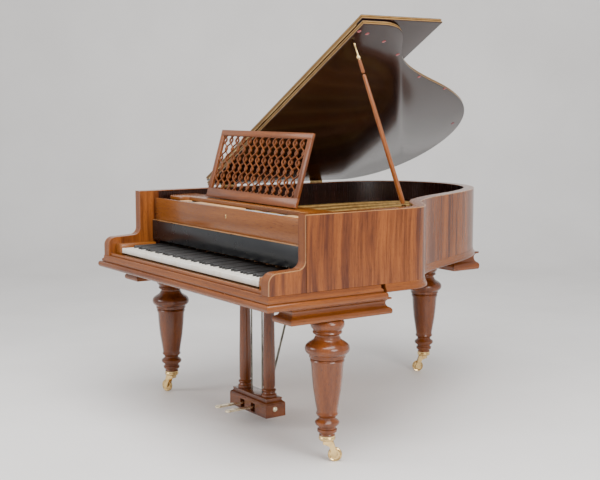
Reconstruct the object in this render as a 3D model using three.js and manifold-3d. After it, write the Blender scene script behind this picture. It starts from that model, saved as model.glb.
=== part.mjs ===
// A Victorian drawing-room grand piano, full size. Millimetres, +Z up.
// X runs from the bass side (-) to the treble side (+), Y from the player (-) to the tail (+).
// All coordinates are measured from the front of the plinth; the whole group is then moved back
// by half its length, so that its origin lies under the middle of the piano on the floor.
import * as THREE from 'three';
import { mergeVertices } from 'three/addons/utils/BufferGeometryUtils.js';
import Module from 'manifold-3d';

const wasm = await Module();
wasm.setup();

// ---- driving dimensions ----
const GAP = 0.3; // clearance between touching pieces
const HALF_WIDTH = 709; // case, outside
const TAIL_Y = 1772; // end of the case
const RIM_WALL = 50;
const RIM_BOTTOM = 688;
const RIM_TOP = 980;
const ARM_FRONT = 22;
const CHEEK_FRONT = 186; // upright front edge of the case above the arms
const ARM_TOP = 776;
const PLINTH_BOTTOM = 631;
const PLINTH_TOP = 659;
const PLINTH_REAR = 562;
const PLINTH_SPREAD = 24; // plinth stands out past the case sides
const BASE_SPREAD = 10; // base moulding stands out past the rim
const BASE_BOTTOM = 655;

const LID_ANGLE = THREE.MathUtils.degToRad(29.6);
const LID_AXIS_X = -722.5;
const LID_AXIS_Z = 992;
const LID_THICK = 22;
const LID_OVERHANG = 12;
const LENGTH = TAIL_Y + LID_OVERHANG; // plinth front to the back of the lid
const FOLD_Y = 580; // between the main lid and its front flap
const FLAP_FRONT = 158;
const FLAP_AXIS_UP = 14; // flap hinge above the lid's middle plane

const NATURAL_PITCH = 23.5;
const NATURALS = 50;
const KEY_GAP = 1;
const FIRST_KEY_X = -592;
const KEY_FRONT = 58;
const SHARP_FRONT = 108;
const KEY_REAR = 330;
const KEY_RAIL = 300; // keys of a bank are joined behind this line
const KEY_BOTTOM = 706;
const NATURAL_TOP = 727.5;
const SHARP_TOP = 739;
const SHARP_WIDTH = 11;
const MOVING_FIRST = 23; // middle C
const MOVING_LAST = 25; // the E above it

const LEG_X = 644;
const LEG_Y = 332;
const REAR_LEG = [-285, 1620];
const LEG_TOP = 565;
const WHEEL_R = 28;
const WHEEL_TRAIL = 31;

const LYRE_Y = 415;
const COLUMN_X = 98;
const PEDAL_X = 43;

// ---- materials ----
const finish = (color, roughness, metalness = 0) =>
  new THREE.MeshStandardMaterial({ color, roughness, metalness });
const walnut = finish(0x7a3f1c, 0.28);
const darkWalnut = finish(0x4a2413, 0.3);
const mahogany = finish(0x3a1610, 0.2);
const ebonised = finish(0x08090b, 0.2);
const ivory = finish(0xf1ead9, 0.35);
const ebony = finish(0x101010, 0.35);
const brass = finish(0xc9a557, 0.25, 1);
const goldPaint = finish(0xb98d45, 0.4, 0.6);
const spruce = finish(0xcf9f5e, 0.5);
const maple = finish(0xd9b07a, 0.5);
const iron = finish(0x4b463c, 0.45, 1);
const feltGrey = finish(0x777a7c, 0.95);

// ---- helpers ----
const solidOf = (geometry) => {
  const bare = geometry.clone();
  bare.deleteAttribute('normal');
  bare.deleteAttribute('uv');
  const merged = mergeVertices(bare, 1e-3);
  const vertProperties = new Float32Array(merged.attributes.position.array);
  const triVerts = new Uint32Array(merged.index.array);
  return new wasm.Manifold(new wasm.Mesh({ numProp: 3, vertProperties, triVerts }));
};

const geometryOf = (solid) => {
  const mesh = solid.getMesh();
  const geometry = new THREE.BufferGeometry();
  geometry.setAttribute('position', new THREE.BufferAttribute(mesh.vertProperties, 3));
  geometry.setIndex(new THREE.BufferAttribute(mesh.triVerts, 1));
  geometry.computeVertexNormals();
  return geometry;
};

const shapeOf = (points) => new THREE.Shape(points.map(([x, y]) => new THREE.Vector2(x, y)));

// A prism standing on a flat outline, from low to high.
const upright = (shape, low, high) => {
  const geometry = new THREE.ExtrudeGeometry(shape, { depth: high - low, bevelEnabled: false, curveSegments: 8 });
  geometry.translate(0, 0, low);
  return geometry;
};

// The same with its upper and lower edges rounded over.
const rounded = (shape, low, high, radius) => {
  const geometry = new THREE.ExtrudeGeometry(shape, {
    depth: high - low - 2 * radius, bevelThickness: radius, bevelSize: radius, bevelOffset: -radius,
    bevelSegments: 3, curveSegments: 8,
  });
  geometry.translate(0, 0, low + radius);
  return geometry;
};

// A profile drawn in (Y, Z), carried along X from one side to the other.
const across = (shape, from, to) => {
  const geometry = new THREE.ExtrudeGeometry(shape, { depth: to - from, bevelEnabled: false, curveSegments: 6 });
  geometry.rotateY(Math.PI / 2);
  geometry.rotateX(Math.PI / 2);
  geometry.translate(from, 0, 0);
  return geometry;
};

const block = (x0, x1, y0, y1, z0, z1) => {
  const geometry = new THREE.BoxGeometry(x1 - x0, y1 - y0, z1 - z0);
  geometry.translate((x0 + x1) / 2, (y0 + y1) / 2, (z0 + z1) / 2);
  return geometry;
};

const bar = (start, end, radius, sides = 12) => {
  const line = new THREE.Vector3().subVectors(end, start);
  const geometry = new THREE.CylinderGeometry(radius, radius, line.length(), sides);
  const turn = new THREE.Quaternion().setFromUnitVectors(new THREE.Vector3(0, 1, 0), line.clone().normalize());
  geometry.applyQuaternion(turn);
  geometry.translate(...start.clone().add(end).multiplyScalar(0.5).toArray());
  return geometry;
};

// A turned piece standing on Z; rows are [radius, height], from the foot up.
const turned = (rows, sides = 24) => {
  const points = [[0, rows[0][1]], ...rows, [0, rows[rows.length - 1][1]]];
  const geometry = new THREE.LatheGeometry(points.map(([r, z]) => new THREE.Vector2(r, z)), sides);
  geometry.rotateX(Math.PI / 2);
  return geometry;
};

const join = (...pieces) => geometryOf(pieces.map(solidOf).reduce((sum, next) => sum.add(next)));
const cut = (piece, ...tools) => geometryOf(tools.map(solidOf).reduce((rest, tool) => rest.subtract(tool), solidOf(piece)));

const piano = new THREE.Group();
const add = (name, geometry, material, parent = piano) => {
  const mesh = new THREE.Mesh(geometry, material);
  mesh.name = name;
  parent.add(mesh);
  return mesh;
};

// ---- plan of the case ----
// Straight treble side, shoulder, hollow bentside, round tail, straight bass side.
const bends = [
  [[HALF_WIDTH, 680], [HALF_WIDTH, 800], [630, 830], [560, 875]],
  [[560, 875], [450, 945], [390, 1040], [326, 1168]],
  [[326, 1168], [262, 1296], [220, 1420], [120, 1560]],
  [[120, 1560], [20, 1700], [-130, TAIL_Y], [-270, TAIL_Y]],
  [[-270, TAIL_Y], [-520, TAIL_Y], [-HALF_WIDTH, 1600], [-HALF_WIDTH, 1350]],
].map((corners) => new THREE.CubicBezierCurve(...corners.map(([x, y]) => new THREE.Vector2(x, y))));
const STEPS = 7;

// The plan line moved outwards by spread, as [x, y] from the treble front round to the bass front.
const planLine = (spread, front) => {
  const round = bends.flatMap((bend, i) => {
    const steps = Array.from({ length: STEPS + 1 }, (_, k) => k / STEPS).slice(i === 0 ? 0 : 1);
    return steps.map((t) => {
      const at = bend.getPoint(t);
      const along = bend.getTangent(t);
      return [at.x + along.y * spread, at.y - along.x * spread];
    });
  });
  return [[HALF_WIDTH + spread, front], ...round, [-HALF_WIDTH - spread, front]];
};

const band = (outer, inner, front) => shapeOf([...planLine(outer, front), ...planLine(inner, front).reverse()]);
const panel = (spread, front) => shapeOf(planLine(spread, front));

// ---- case ----
// Arm outline above which the sides are cut away in front of the cheeks.
const armCut = new THREE.Shape();
armCut.moveTo(-20, RIM_TOP + 20);
armCut.lineTo(CHEEK_FRONT, RIM_TOP + 20);
armCut.lineTo(CHEEK_FRONT, ARM_TOP + 34);
armCut.absarc(CHEEK_FRONT - 34, ARM_TOP + 34, 34, 0, -Math.PI / 2, true);
armCut.lineTo(ARM_FRONT + 38, ARM_TOP - 4);
armCut.absarc(ARM_FRONT + 38, ARM_TOP - 42, 38, Math.PI / 2, Math.PI, false);
armCut.lineTo(ARM_FRONT, RIM_BOTTOM + 12);
armCut.lineTo(-20, RIM_BOTTOM + 12);
add('rim', cut(
  upright(band(0, -RIM_WALL, ARM_FRONT), RIM_BOTTOM + GAP, RIM_TOP),
  across(armCut, -HALF_WIDTH - 5, HALF_WIDTH + 5),
), walnut);

const boardPlan = (half, front, rear) => shapeOf([[-half, front], [half, front], [half, rear], [-half, rear]]);
add('plinth', rounded(boardPlan(HALF_WIDTH + PLINTH_SPREAD, 0, PLINTH_REAR), PLINTH_BOTTOM, PLINTH_TOP, 11), walnut);
add('keybed', rounded(boardPlan(HALF_WIDTH + 9, 13, PLINTH_REAR - 14), PLINTH_TOP + GAP, RIM_BOTTOM, 4), walnut);
add('base_moulding', upright(band(BASE_SPREAD, -RIM_WALL, PLINTH_REAR + 1), BASE_BOTTOM, RIM_BOTTOM), walnut);

const CHEEK_INNER = HALF_WIDTH - RIM_WALL;
add('key_slip', block(-CHEEK_INNER + 1, CHEEK_INNER - 1, 30, 52, RIM_BOTTOM + GAP, 700), walnut);
const LAST_KEY_X = FIRST_KEY_X + NATURALS * NATURAL_PITCH;
const blockProfile = new THREE.Shape();
blockProfile.moveTo(56, RIM_BOTTOM + GAP);
blockProfile.lineTo(236, RIM_BOTTOM + GAP);
blockProfile.lineTo(236, 744);
blockProfile.lineTo(76, 744);
blockProfile.quadraticCurveTo(56, 744, 56, 724);
add('bass_key_block', across(blockProfile, -CHEEK_INNER + 1, FIRST_KEY_X - 5), walnut);
add('treble_key_block', across(blockProfile, LAST_KEY_X + 5, CHEEK_INNER - 1), walnut);

// ---- inside of the case ----
const INNER = -RIM_WALL - 2;
const SOUNDBOARD_Z = 800;
const PLATE_Z = 846;
const PLATE_THICK = 18;
const BELLY_Y = 545;
add('soundboard', upright(panel(INNER, BELLY_Y), SOUNDBOARD_Z, SOUNDBOARD_Z + 10), spruce);
const braceLines = [['bass', -400, -440], ['treble', 200, -60]];
const insideSpace = solidOf(upright(panel(INNER, BELLY_Y + 46), 600, SOUNDBOARD_Z - GAP));
for (const [side, frontX, rearX] of braceLines) {
  const beam = shapeOf([[frontX - 28, BELLY_Y + 46], [frontX + 28, BELLY_Y + 46], [rearX + 28, TAIL_Y], [rearX - 28, TAIL_Y]]);
  add(`${side}_brace`, geometryOf(solidOf(upright(beam, BASE_BOTTOM + 2, SOUNDBOARD_Z - 30)).intersect(insideSpace)), maple);
}
add('pin_block', block(-CHEEK_INNER + 2, CHEEK_INNER - 2, 290, 480, 806, PLATE_Z - GAP), maple);

// Cast plate: a flange round the inside with open bays between straight bars.
const plateBars = [1, 2, 3, 4, 5, 6].map((k) => [164 * k - 574, 82 * k - 520]);
const bayFront = 500;
let bays = solidOf(upright(panel(-135, bayFront), PLATE_Z - 5, PLATE_Z + PLATE_THICK + 5));
for (const [frontX, rearX] of plateBars) {
  const strut = shapeOf([[frontX - 11, bayFront - 5], [frontX + 11, bayFront - 5], [rearX + 11, TAIL_Y], [rearX - 11, TAIL_Y]]);
  bays = bays.subtract(solidOf(upright(strut, PLATE_Z - 10, PLATE_Z + PLATE_THICK + 10)));
}
add('iron_frame', geometryOf(solidOf(upright(panel(INNER, 285), PLATE_Z, PLATE_Z + PLATE_THICK)).subtract(bays)), goldPaint);

// Bridge glued to the soundboard, following the bentside.
const curvePart = (spread, first, last) => planLine(spread, BELLY_Y).slice(first, last);
const bridgeSpan = [STEPS + 1, 3 * STEPS + 6];
const trebleBridge = shapeOf([...curvePart(-205, ...bridgeSpan), ...curvePart(-232, ...bridgeSpan).reverse()]);
add('treble_bridge', upright(trebleBridge, SOUNDBOARD_Z + 10 + GAP, PLATE_Z - 4), maple);

// ---- keyboard: slides sideways with the left pedal ----
const frameWindows = Array.from({ length: 6 }, (_, k) => -570 + 190 * k).flatMap(
  (x) => [[90, 225], [275, 480]].map(([front, rear]) => block(x, x + 165, front, rear, RIM_BOTTOM - 5, KEY_BOTTOM)),
);
add('key_frame', cut(block(-590, 580, 70, 520, RIM_BOTTOM + 1, RIM_BOTTOM + 6), ...frameWindows), maple);

const letters = 'ABCDEFG';
const noteName = (i) => letters[i % 7].toLowerCase();
const hasSharp = (i) => i >= 0 && i < NATURALS - 1 && 'ACDFG'.includes(letters[i % 7]);
const keyLeft = (i) => FIRST_KEY_X + i * NATURAL_PITCH;
const half = SHARP_WIDTH / 2 + KEY_GAP;

// Front part of one natural key, walked clockwise from its left rear corner.
const naturalWalk = (i, rear) => {
  const left = keyLeft(i) + KEY_GAP / 2;
  const right = keyLeft(i + 1) - KEY_GAP / 2;
  const tailLeft = hasSharp(i - 1) ? keyLeft(i) + half : left;
  const tailRight = hasSharp(i) ? keyLeft(i + 1) - half : right;
  const walk = [[tailLeft, rear], [tailLeft, SHARP_FRONT - 2], [left, SHARP_FRONT - 2], [left, KEY_FRONT],
    [right, KEY_FRONT], [right, SHARP_FRONT - 2], [tailRight, SHARP_FRONT - 2], [tailRight, rear]];
  return walk.filter(([x, y], k) => k === 0 || x !== walk[k - 1][0] || y !== walk[k - 1][1]);
};
const naturalBank = (first, last) => {
  const fronts = Array.from({ length: last - first + 1 }, (_, k) => naturalWalk(first + k, KEY_RAIL)).flat();
  const [start] = fronts[0];
  const [end] = fronts[fronts.length - 1];
  return upright(shapeOf([[start, KEY_REAR], ...fronts, [end, KEY_REAR]]), KEY_BOTTOM, NATURAL_TOP);
};
// Sharps of a bank hang from a rail that lies just above the naturals' rail.
const sharpBank = (first, last) => {
  const seats = Array.from({ length: last - first + 1 }, (_, k) => first + k).filter(hasSharp);
  const walk = seats.flatMap((i) => {
    const x = keyLeft(i + 1);
    return [[x - SHARP_WIDTH / 2, KEY_RAIL], [x - SHARP_WIDTH / 2, SHARP_FRONT], [x + SHARP_WIDTH / 2, SHARP_FRONT],
      [x + SHARP_WIDTH / 2, KEY_RAIL]];
  });
  return upright(shapeOf([[walk[0][0], KEY_REAR], ...walk, [walk[walk.length - 1][0], KEY_REAR]]), NATURAL_TOP + 1, SHARP_TOP);
};
add('bass_naturals', naturalBank(0, MOVING_FIRST - 1), ivory);
add('treble_naturals', naturalBank(MOVING_LAST + 1, NATURALS - 1), ivory);
add('bass_sharps', sharpBank(0, MOVING_FIRST - 2), ebony);
add('treble_sharps', sharpBank(MOVING_LAST + 1, NATURALS - 1), ebony);
for (let i = MOVING_FIRST; i <= MOVING_LAST; i += 1) {
  add(`key_${noteName(i)}`, upright(shapeOf(naturalWalk(i, KEY_REAR)), KEY_BOTTOM, NATURAL_TOP), ivory);
  if (hasSharp(i) && i < MOVING_LAST) {
    const x = keyLeft(i + 1);
    add(`key_${noteName(i)}_sharp`,
      block(x - SHARP_WIDTH / 2, x + SHARP_WIDTH / 2, SHARP_FRONT, KEY_REAR, KEY_BOTTOM, SHARP_TOP), ebony);
  }
}
add('damper_rail', block(-560, 470, 488, 506, PLATE_Z + PLATE_THICK + 16, PLATE_Z + PLATE_THICK + 44), feltGrey);

// ---- fallboard, music shelf and desk ----
const FALL_HALF = CHEEK_INNER - 3;
const fallProfile = new THREE.Shape();
fallProfile.moveTo(247, 752);
fallProfile.lineTo(275, 752);
fallProfile.lineTo(275, 845);
fallProfile.lineTo(247, 845);
add('name_panel', across(fallProfile, -FALL_HALF, FALL_HALF), ebonised);
add('fall_panel', block(-FALL_HALF, FALL_HALF, 262, 281, 845 + GAP, 947), walnut);

const SHELF_TOP = 960;
const shelf = new THREE.Shape();
shelf.moveTo(-CHEEK_INNER + 2, 480);
shelf.lineTo(-CHEEK_INNER + 2, 420);
shelf.lineTo(-640, 400);
shelf.absarc(-580, 370, 60, Math.PI, Math.PI * 1.5, false);
shelf.lineTo(-520, 310);
shelf.quadraticCurveTo(-480, 310, -470, 345);
shelf.lineTo(CHEEK_INNER - 2, 345);
shelf.lineTo(CHEEK_INNER - 2, 480);
// A groove in the shelf's treble end takes the folded prop stick.
const PROP_FOLD_TURN = THREE.MathUtils.degToRad(8); // folded stick points this far to the treble of straight forward
const PROP_FOOT = new THREE.Vector3(470, 850, 960);
const groove = block(-13, 13, -620, -300, SHELF_TOP - 11, SHELF_TOP + 20);
groove.rotateZ(PROP_FOLD_TURN);
groove.translate(PROP_FOOT.x, PROP_FOOT.y, 0);
add('music_shelf', cut(upright(shelf, SHELF_TOP - 18, SHELF_TOP), groove), walnut);

const DESK_HALF = 365;
const DESK_X = -35;
const DESK_HEIGHT = 316;
const DESK_LEAN = THREE.MathUtils.degToRad(16.5);
const desk = new THREE.Group();
desk.position.set(DESK_X, 406, SHELF_TOP + 1);
desk.rotation.x = Math.PI / 2 - DESK_LEAN;
piano.add(desk);
const deskPlan = shapeOf([[-DESK_HALF, 0], [DESK_HALF, 0], [DESK_HALF, DESK_HEIGHT], [-DESK_HALF, DESK_HEIGHT]]);
const FRET_ROWS = 3;
const FRET_COLUMNS = 12;
const fretWide = (2 * DESK_HALF - 60) / FRET_COLUMNS;
const fretHigh = (DESK_HEIGHT - 72) / FRET_ROWS;
for (let row = 0; row < FRET_ROWS; row += 1) {
  for (let column = 0; column < FRET_COLUMNS; column += 1) {
    const x = -DESK_HALF + 30 + (column + 0.5) * fretWide;
    const y = 44 + (row + 0.5) * fretHigh;
    const eye = new THREE.Path();
    eye.moveTo(x, y - fretHigh / 2 + 5);
    eye.quadraticCurveTo(x + fretWide * 0.72, y, x, y + fretHigh / 2 - 5);
    eye.quadraticCurveTo(x - fretWide * 0.72, y, x, y - fretHigh / 2 + 5);
    deskPlan.holes.push(eye);
  }
}
add('music_desk', new THREE.ExtrudeGeometry(deskPlan, { depth: 14, bevelEnabled: false, curveSegments: 3 }), walnut, desk);

// ---- lid: main leaf, folded-back front flap, prop head ----
const lid = new THREE.Group();
lid.position.set(LID_AXIS_X, 0, LID_AXIS_Z);
lid.rotation.y = -LID_ANGLE;
piano.add(lid);
const LID_EDGE = 6.5; // lid starts this far from the hinge line
const onLid = ([x, y]) => [Math.max(x - LID_AXIS_X, LID_EDGE), y];
const lidPlan = shapeOf(planLine(LID_OVERHANG, FOLD_Y + 1).map(onLid));
add('lid_main', rounded(lidPlan, -LID_THICK / 2, LID_THICK / 2, 5), mahogany, lid);

const flap = new THREE.Group();
flap.position.set(0, FOLD_Y, FLAP_AXIS_UP);
flap.rotation.x = Math.PI;
lid.add(flap);
const LID_RIGHT = HALF_WIDTH + LID_OVERHANG - LID_AXIS_X;
const flapPlan = shapeOf([[LID_EDGE, FLAP_FRONT - FOLD_Y], [LID_RIGHT, FLAP_FRONT - FOLD_Y], [LID_RIGHT, -3], [LID_EDGE, -3]]);
add('lid_flap', rounded(flapPlan, -LID_THICK - 2, -2, 5), mahogany, flap);
const flapHinge = [40, LID_RIGHT - 40].map((x) => new THREE.Vector3(x, FOLD_Y, FLAP_AXIS_UP));
add('flap_hinge', bar(...flapHinge, 2.4, 8), brass, lid);

const LID_HINGES = [['front', 700], ['rear', 1240]];
for (const [place, y] of LID_HINGES) {
  const knuckles = bar(new THREE.Vector3(LID_AXIS_X, y - 38, LID_AXIS_Z), new THREE.Vector3(LID_AXIS_X, y + 38, LID_AXIS_Z), 5, 10);
  const leaf = block(LID_AXIS_X - 2, LID_AXIS_X + 2, y - 38, y + 38, LID_AXIS_Z - 34, LID_AXIS_Z - 3);
  const foot = block(LID_AXIS_X - 2, -HALF_WIDTH - GAP, y - 38, y + 38, LID_AXIS_Z - 34, LID_AXIS_Z - 20);
  add(`${place}_lid_hinge`, join(knuckles, leaf, foot), brass);
}

// Prop: the stick stands on a bracket in the case, its jointed head hangs from the lid.
const PROP_SPLIT = 585; // where the jointed head meets the stick
const headOnLid = new THREE.Vector3(1330, 604, -LID_THICK / 2 - 1);
const headTop = headOnLid.clone().applyAxisAngle(new THREE.Vector3(0, 1, 0), -LID_ANGLE).add(lid.position);
const propLine = new THREE.Vector3().subVectors(headTop, PROP_FOOT);
const PROP_LENGTH = propLine.length();
propLine.normalize();
const PROP_BALL = PROP_LENGTH - 70;
const stick = new THREE.Group();
stick.position.copy(PROP_FOOT);
stick.quaternion.setFromUnitVectors(new THREE.Vector3(0, 0, 1), propLine);
piano.add(stick);
add('prop_stick', turned([[9, 12], [10.5, 40], [9.5, 300], [7.5, PROP_SPLIT - 12], [6.6, PROP_SPLIT - 8],
  [4, PROP_SPLIT - 5.4]], 12), walnut, stick);
add('prop_head', turned([[4, PROP_SPLIT], [6.6, PROP_SPLIT + 3], [7.5, PROP_SPLIT + 7], [7, PROP_BALL - 9]], 12), walnut, stick);
add('prop_pin', turned([[5, PROP_BALL - 8.5], [9, PROP_BALL - 4], [9, PROP_BALL + 4], [3.5, PROP_BALL + 9], [3.5, PROP_LENGTH - 9]], 12), brass, stick);
const propKnuckle = bar(new THREE.Vector3(-9, 0, 0), new THREE.Vector3(9, 0, 0), 6, 10);
propKnuckle.translate(...PROP_FOOT.toArray());
const bracketArm = block(PROP_FOOT.x - 12, PROP_FOOT.x + 90, PROP_FOOT.y - 8, PROP_FOOT.y + 26, PROP_FOOT.z - 15, PROP_FOOT.z - 3);
const bracket = solidOf(join(propKnuckle, bracketArm)).intersect(solidOf(upright(panel(-RIM_WALL - GAP, 290), 900, 990)));
add('prop_bracket', geometryOf(bracket), brass);

// ---- legs ----
const legRows = [[32, 106], [30, 113], [38, 124], [38, 132], [47, 152], [48, 160], [33, 176], [43, 192], [41, 203], [54, 287],
  [60, 342], [64, 400], [70, 410], [70, 422], [84, 436], [87.5, 451], [82, 466], [50, 492], [57, 513], [55, 521], [67, 546],
  [64, LEG_TOP - GAP]];
const cupTop = 106;
const legStands = [['bass', -LEG_X, LEG_Y, 200], ['treble', LEG_X, LEG_Y, 56], ['rear', REAR_LEG[0], REAR_LEG[1], 236]];
const WHEEL_HALF = 8;
for (const [side, x, y, heading] of legStands) {
  const stand = new THREE.Group();
  stand.position.set(x, y, 0);
  stand.rotation.z = THREE.MathUtils.degToRad(heading);
  piano.add(stand);
  add(`${side}_leg`, turned(legRows, 16), walnut, stand);
  add(`${side}_castor_cup`, turned([[20, 84], [31, 88], [33, 96], [32, cupTop - GAP]], 16), brass, stand);
  const cheek = new THREE.Shape();
  cheek.moveTo(-16, 82);
  cheek.lineTo(-16, 72);
  cheek.lineTo(8, 62);
  cheek.lineTo(WHEEL_TRAIL - 9, WHEEL_R - 6);
  cheek.absarc(WHEEL_TRAIL, WHEEL_R, 11, -Math.PI * 0.7, Math.PI * 0.25, false);
  cheek.lineTo(24, 82);
  const plateOf = (from, to) => {
    const side3 = new THREE.ExtrudeGeometry(cheek, { depth: to - from, bevelEnabled: false, curveSegments: 4 });
    side3.rotateX(Math.PI / 2);
    side3.translate(0, to, 0);
    return side3;
  };
  const crown = block(-16, 22, -14, 14, 70, 82);
  const spindle = bar(new THREE.Vector3(WHEEL_TRAIL, -13, WHEEL_R), new THREE.Vector3(WHEEL_TRAIL, 13, WHEEL_R), 3.5, 10);
  const fork = join(plateOf(-14, -10.5), plateOf(10.5, 14), crown, spindle);
  const wheelRoom = bar(new THREE.Vector3(WHEEL_TRAIL, -9.5, WHEEL_R), new THREE.Vector3(WHEEL_TRAIL, 9.5, WHEEL_R), WHEEL_R + 2, 16);
  const axle = bar(new THREE.Vector3(WHEEL_TRAIL, -12, WHEEL_R), new THREE.Vector3(WHEEL_TRAIL, 12, WHEEL_R), 3.5, 10);
  add(`${side}_castor_fork`, join(cut(fork, wheelRoom), axle), brass, stand);
  const wheel = turned([[4.2, -WHEEL_HALF], [WHEEL_R - 4, -WHEEL_HALF], [WHEEL_R, -WHEEL_HALF + 3], [WHEEL_R, WHEEL_HALF - 3],
    [WHEEL_R - 4, WHEEL_HALF], [4.2, WHEEL_HALF]], 20);
  wheel.rotateX(Math.PI / 2);
  wheel.translate(WHEEL_TRAIL, 0, WHEEL_R);
  const bore = bar(new THREE.Vector3(WHEEL_TRAIL, -20, WHEEL_R), new THREE.Vector3(WHEEL_TRAIL, 20, WHEEL_R), 4.2, 10);
  add(`${side}_castor_wheel`, cut(wheel, bore), brass, stand);
}

// Trestle blocks between the legs and the case, with moulded ends.
const trestle = (start, end, low, high) => {
  const shape = new THREE.Shape();
  shape.moveTo(start, high);
  shape.lineTo(start, high - 14);
  shape.quadraticCurveTo(start + 26, high - 18, start + 22, low + 30);
  shape.quadraticCurveTo(start + 10, low + 4, start + 34, low);
  shape.lineTo(end - 34, low);
  shape.quadraticCurveTo(end - 10, low + 4, end - 22, low + 30);
  shape.quadraticCurveTo(end - 26, high - 18, end, high - 14);
  shape.lineTo(end, high);
  return shape;
};
add('bass_trestle', across(trestle(122, 604, LEG_TOP, PLINTH_BOTTOM - GAP), -706, -576), walnut);
add('treble_trestle', across(trestle(122, 604, LEG_TOP, PLINTH_BOTTOM - GAP), 576, 706), walnut);
const rearTrestle = new THREE.ExtrudeGeometry(trestle(-295, 295, LEG_TOP, BASE_BOTTOM - GAP), { depth: 170, bevelEnabled: false, curveSegments: 6 });
rearTrestle.rotateX(Math.PI / 2);
rearTrestle.translate(REAR_LEG[0], REAR_LEG[1] + 105, 0);
add('rear_trestle', rearTrestle, darkWalnut);

// ---- pedal lyre ----
const BOX_LOW = 46;
const BOX_HIGH = 116;
const lyreBox = join(
  block(-150, 150, LYRE_Y - 50, LYRE_Y + 50, BOX_LOW, BOX_HIGH),
  block(-138, 138, LYRE_Y - 40, LYRE_Y + 40, BOX_HIGH - 1, BOX_HIGH + 12),
);
const pedalSlots = [-PEDAL_X, PEDAL_X].map((x) => block(x - 17, x + 17, LYRE_Y - 60, LYRE_Y + 36, BOX_LOW + 8, BOX_LOW + 46));
const rodHoles = [-PEDAL_X, PEDAL_X].map((x) => bar(new THREE.Vector3(x, LYRE_Y, BOX_LOW + 40), new THREE.Vector3(x, LYRE_Y, BOX_HIGH + 20), 7, 12));
add('lyre_box', cut(lyreBox, ...pedalSlots, ...rodHoles), walnut);
const columnRows = [[33, BOX_HIGH + 12 + GAP], [33, 142], [26, 150], [31, 158], [23, 168], [26, 176], [25, 300], [21.5, 560], [25, 566], [25, 574],
  [21, 580], [33, 604], [33, 612], [38, 614], [38, PLINTH_BOTTOM - GAP]];
for (const [side, x] of [['bass', -COLUMN_X], ['treble', COLUMN_X]]) {
  const column = add(`${side}_lyre_column`, turned(columnRows, 16), walnut);
  column.position.set(x, LYRE_Y, 0);
}
const rodTop = PLINTH_BOTTOM - 5;
const BRACE_TOP_Y = 640;
for (const [side, x] of [['left', -PEDAL_X], ['right', PEDAL_X]]) {
  const lever = new THREE.Shape();
  lever.moveTo(x - 13, LYRE_Y - 165);
  lever.quadraticCurveTo(x - 17, LYRE_Y - 185, x, LYRE_Y - 187);
  lever.quadraticCurveTo(x + 17, LYRE_Y - 185, x + 13, LYRE_Y - 165);
  lever.lineTo(x + 9, LYRE_Y - 80);
  lever.lineTo(x + 9, LYRE_Y + 24);
  lever.lineTo(x - 9, LYRE_Y + 24);
  lever.lineTo(x - 9, LYRE_Y - 80);
  add(`${side}_pedal`, rounded(lever, BOX_LOW + 26, BOX_LOW + 34, 1.5), brass);
  add(`${side}_pedal_rod`, bar(new THREE.Vector3(x, LYRE_Y, BOX_LOW + 34 + 1), new THREE.Vector3(x, LYRE_Y, rodTop), 3.5, 10), iron);
}

const braceFoot = new THREE.Vector3(0, LYRE_Y + 56, BOX_HIGH - 20);
const braceHead = new THREE.Vector3(0, BRACE_TOP_Y, PLINTH_BOTTOM + 40);
add('lyre_brace', bar(braceFoot, braceHead, 5, 10), iron);

piano.position.set(0, -LENGTH / 2, 0);
export default piano;
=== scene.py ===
"""A Victorian drawing-room grand piano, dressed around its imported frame.

Every shape below is worked out in millimetres in the case's own plan, with x = 0 on the centre
line, y = 0 at the front of the plinth and z = 0 on the floor, and build() turns it into metres in
the shared frame. Wood pieces carry a point attribute called grain: its z runs along the fibres and
its x and y run across them, in metres.
"""

import collections
import math

import bmesh
import bpy
import numpy as np
from bpy.props import FloatProperty, FloatVectorProperty, IntProperty, PointerProperty
from mathutils import Matrix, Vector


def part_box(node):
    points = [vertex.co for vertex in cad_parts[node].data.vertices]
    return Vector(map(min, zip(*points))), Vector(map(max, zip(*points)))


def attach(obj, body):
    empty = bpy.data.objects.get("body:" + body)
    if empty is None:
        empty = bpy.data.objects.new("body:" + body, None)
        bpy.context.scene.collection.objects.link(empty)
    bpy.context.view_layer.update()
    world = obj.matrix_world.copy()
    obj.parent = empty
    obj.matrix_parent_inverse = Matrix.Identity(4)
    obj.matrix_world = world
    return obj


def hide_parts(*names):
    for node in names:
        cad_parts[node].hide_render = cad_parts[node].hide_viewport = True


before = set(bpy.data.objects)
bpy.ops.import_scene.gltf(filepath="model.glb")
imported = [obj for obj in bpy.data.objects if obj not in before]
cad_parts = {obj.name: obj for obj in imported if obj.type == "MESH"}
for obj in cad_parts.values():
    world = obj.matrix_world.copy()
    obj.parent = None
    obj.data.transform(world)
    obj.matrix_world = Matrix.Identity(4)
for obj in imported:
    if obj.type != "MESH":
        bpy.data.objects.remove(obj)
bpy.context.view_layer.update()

bl_info = {
    "name": "Drawing-room grand piano",
    "version": (1, 0, 0),
    "blender": (4, 5, 0),
    "location": "View3D > Sidebar > Piano",
    "description": "Builds the veneered case, lid, keyboard, fittings and finishes of a grand piano",
    "category": "Add Mesh",
}

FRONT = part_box("plinth")[0].y * 1000  # front of the plinth in the shared frame, in millimetres

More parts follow.
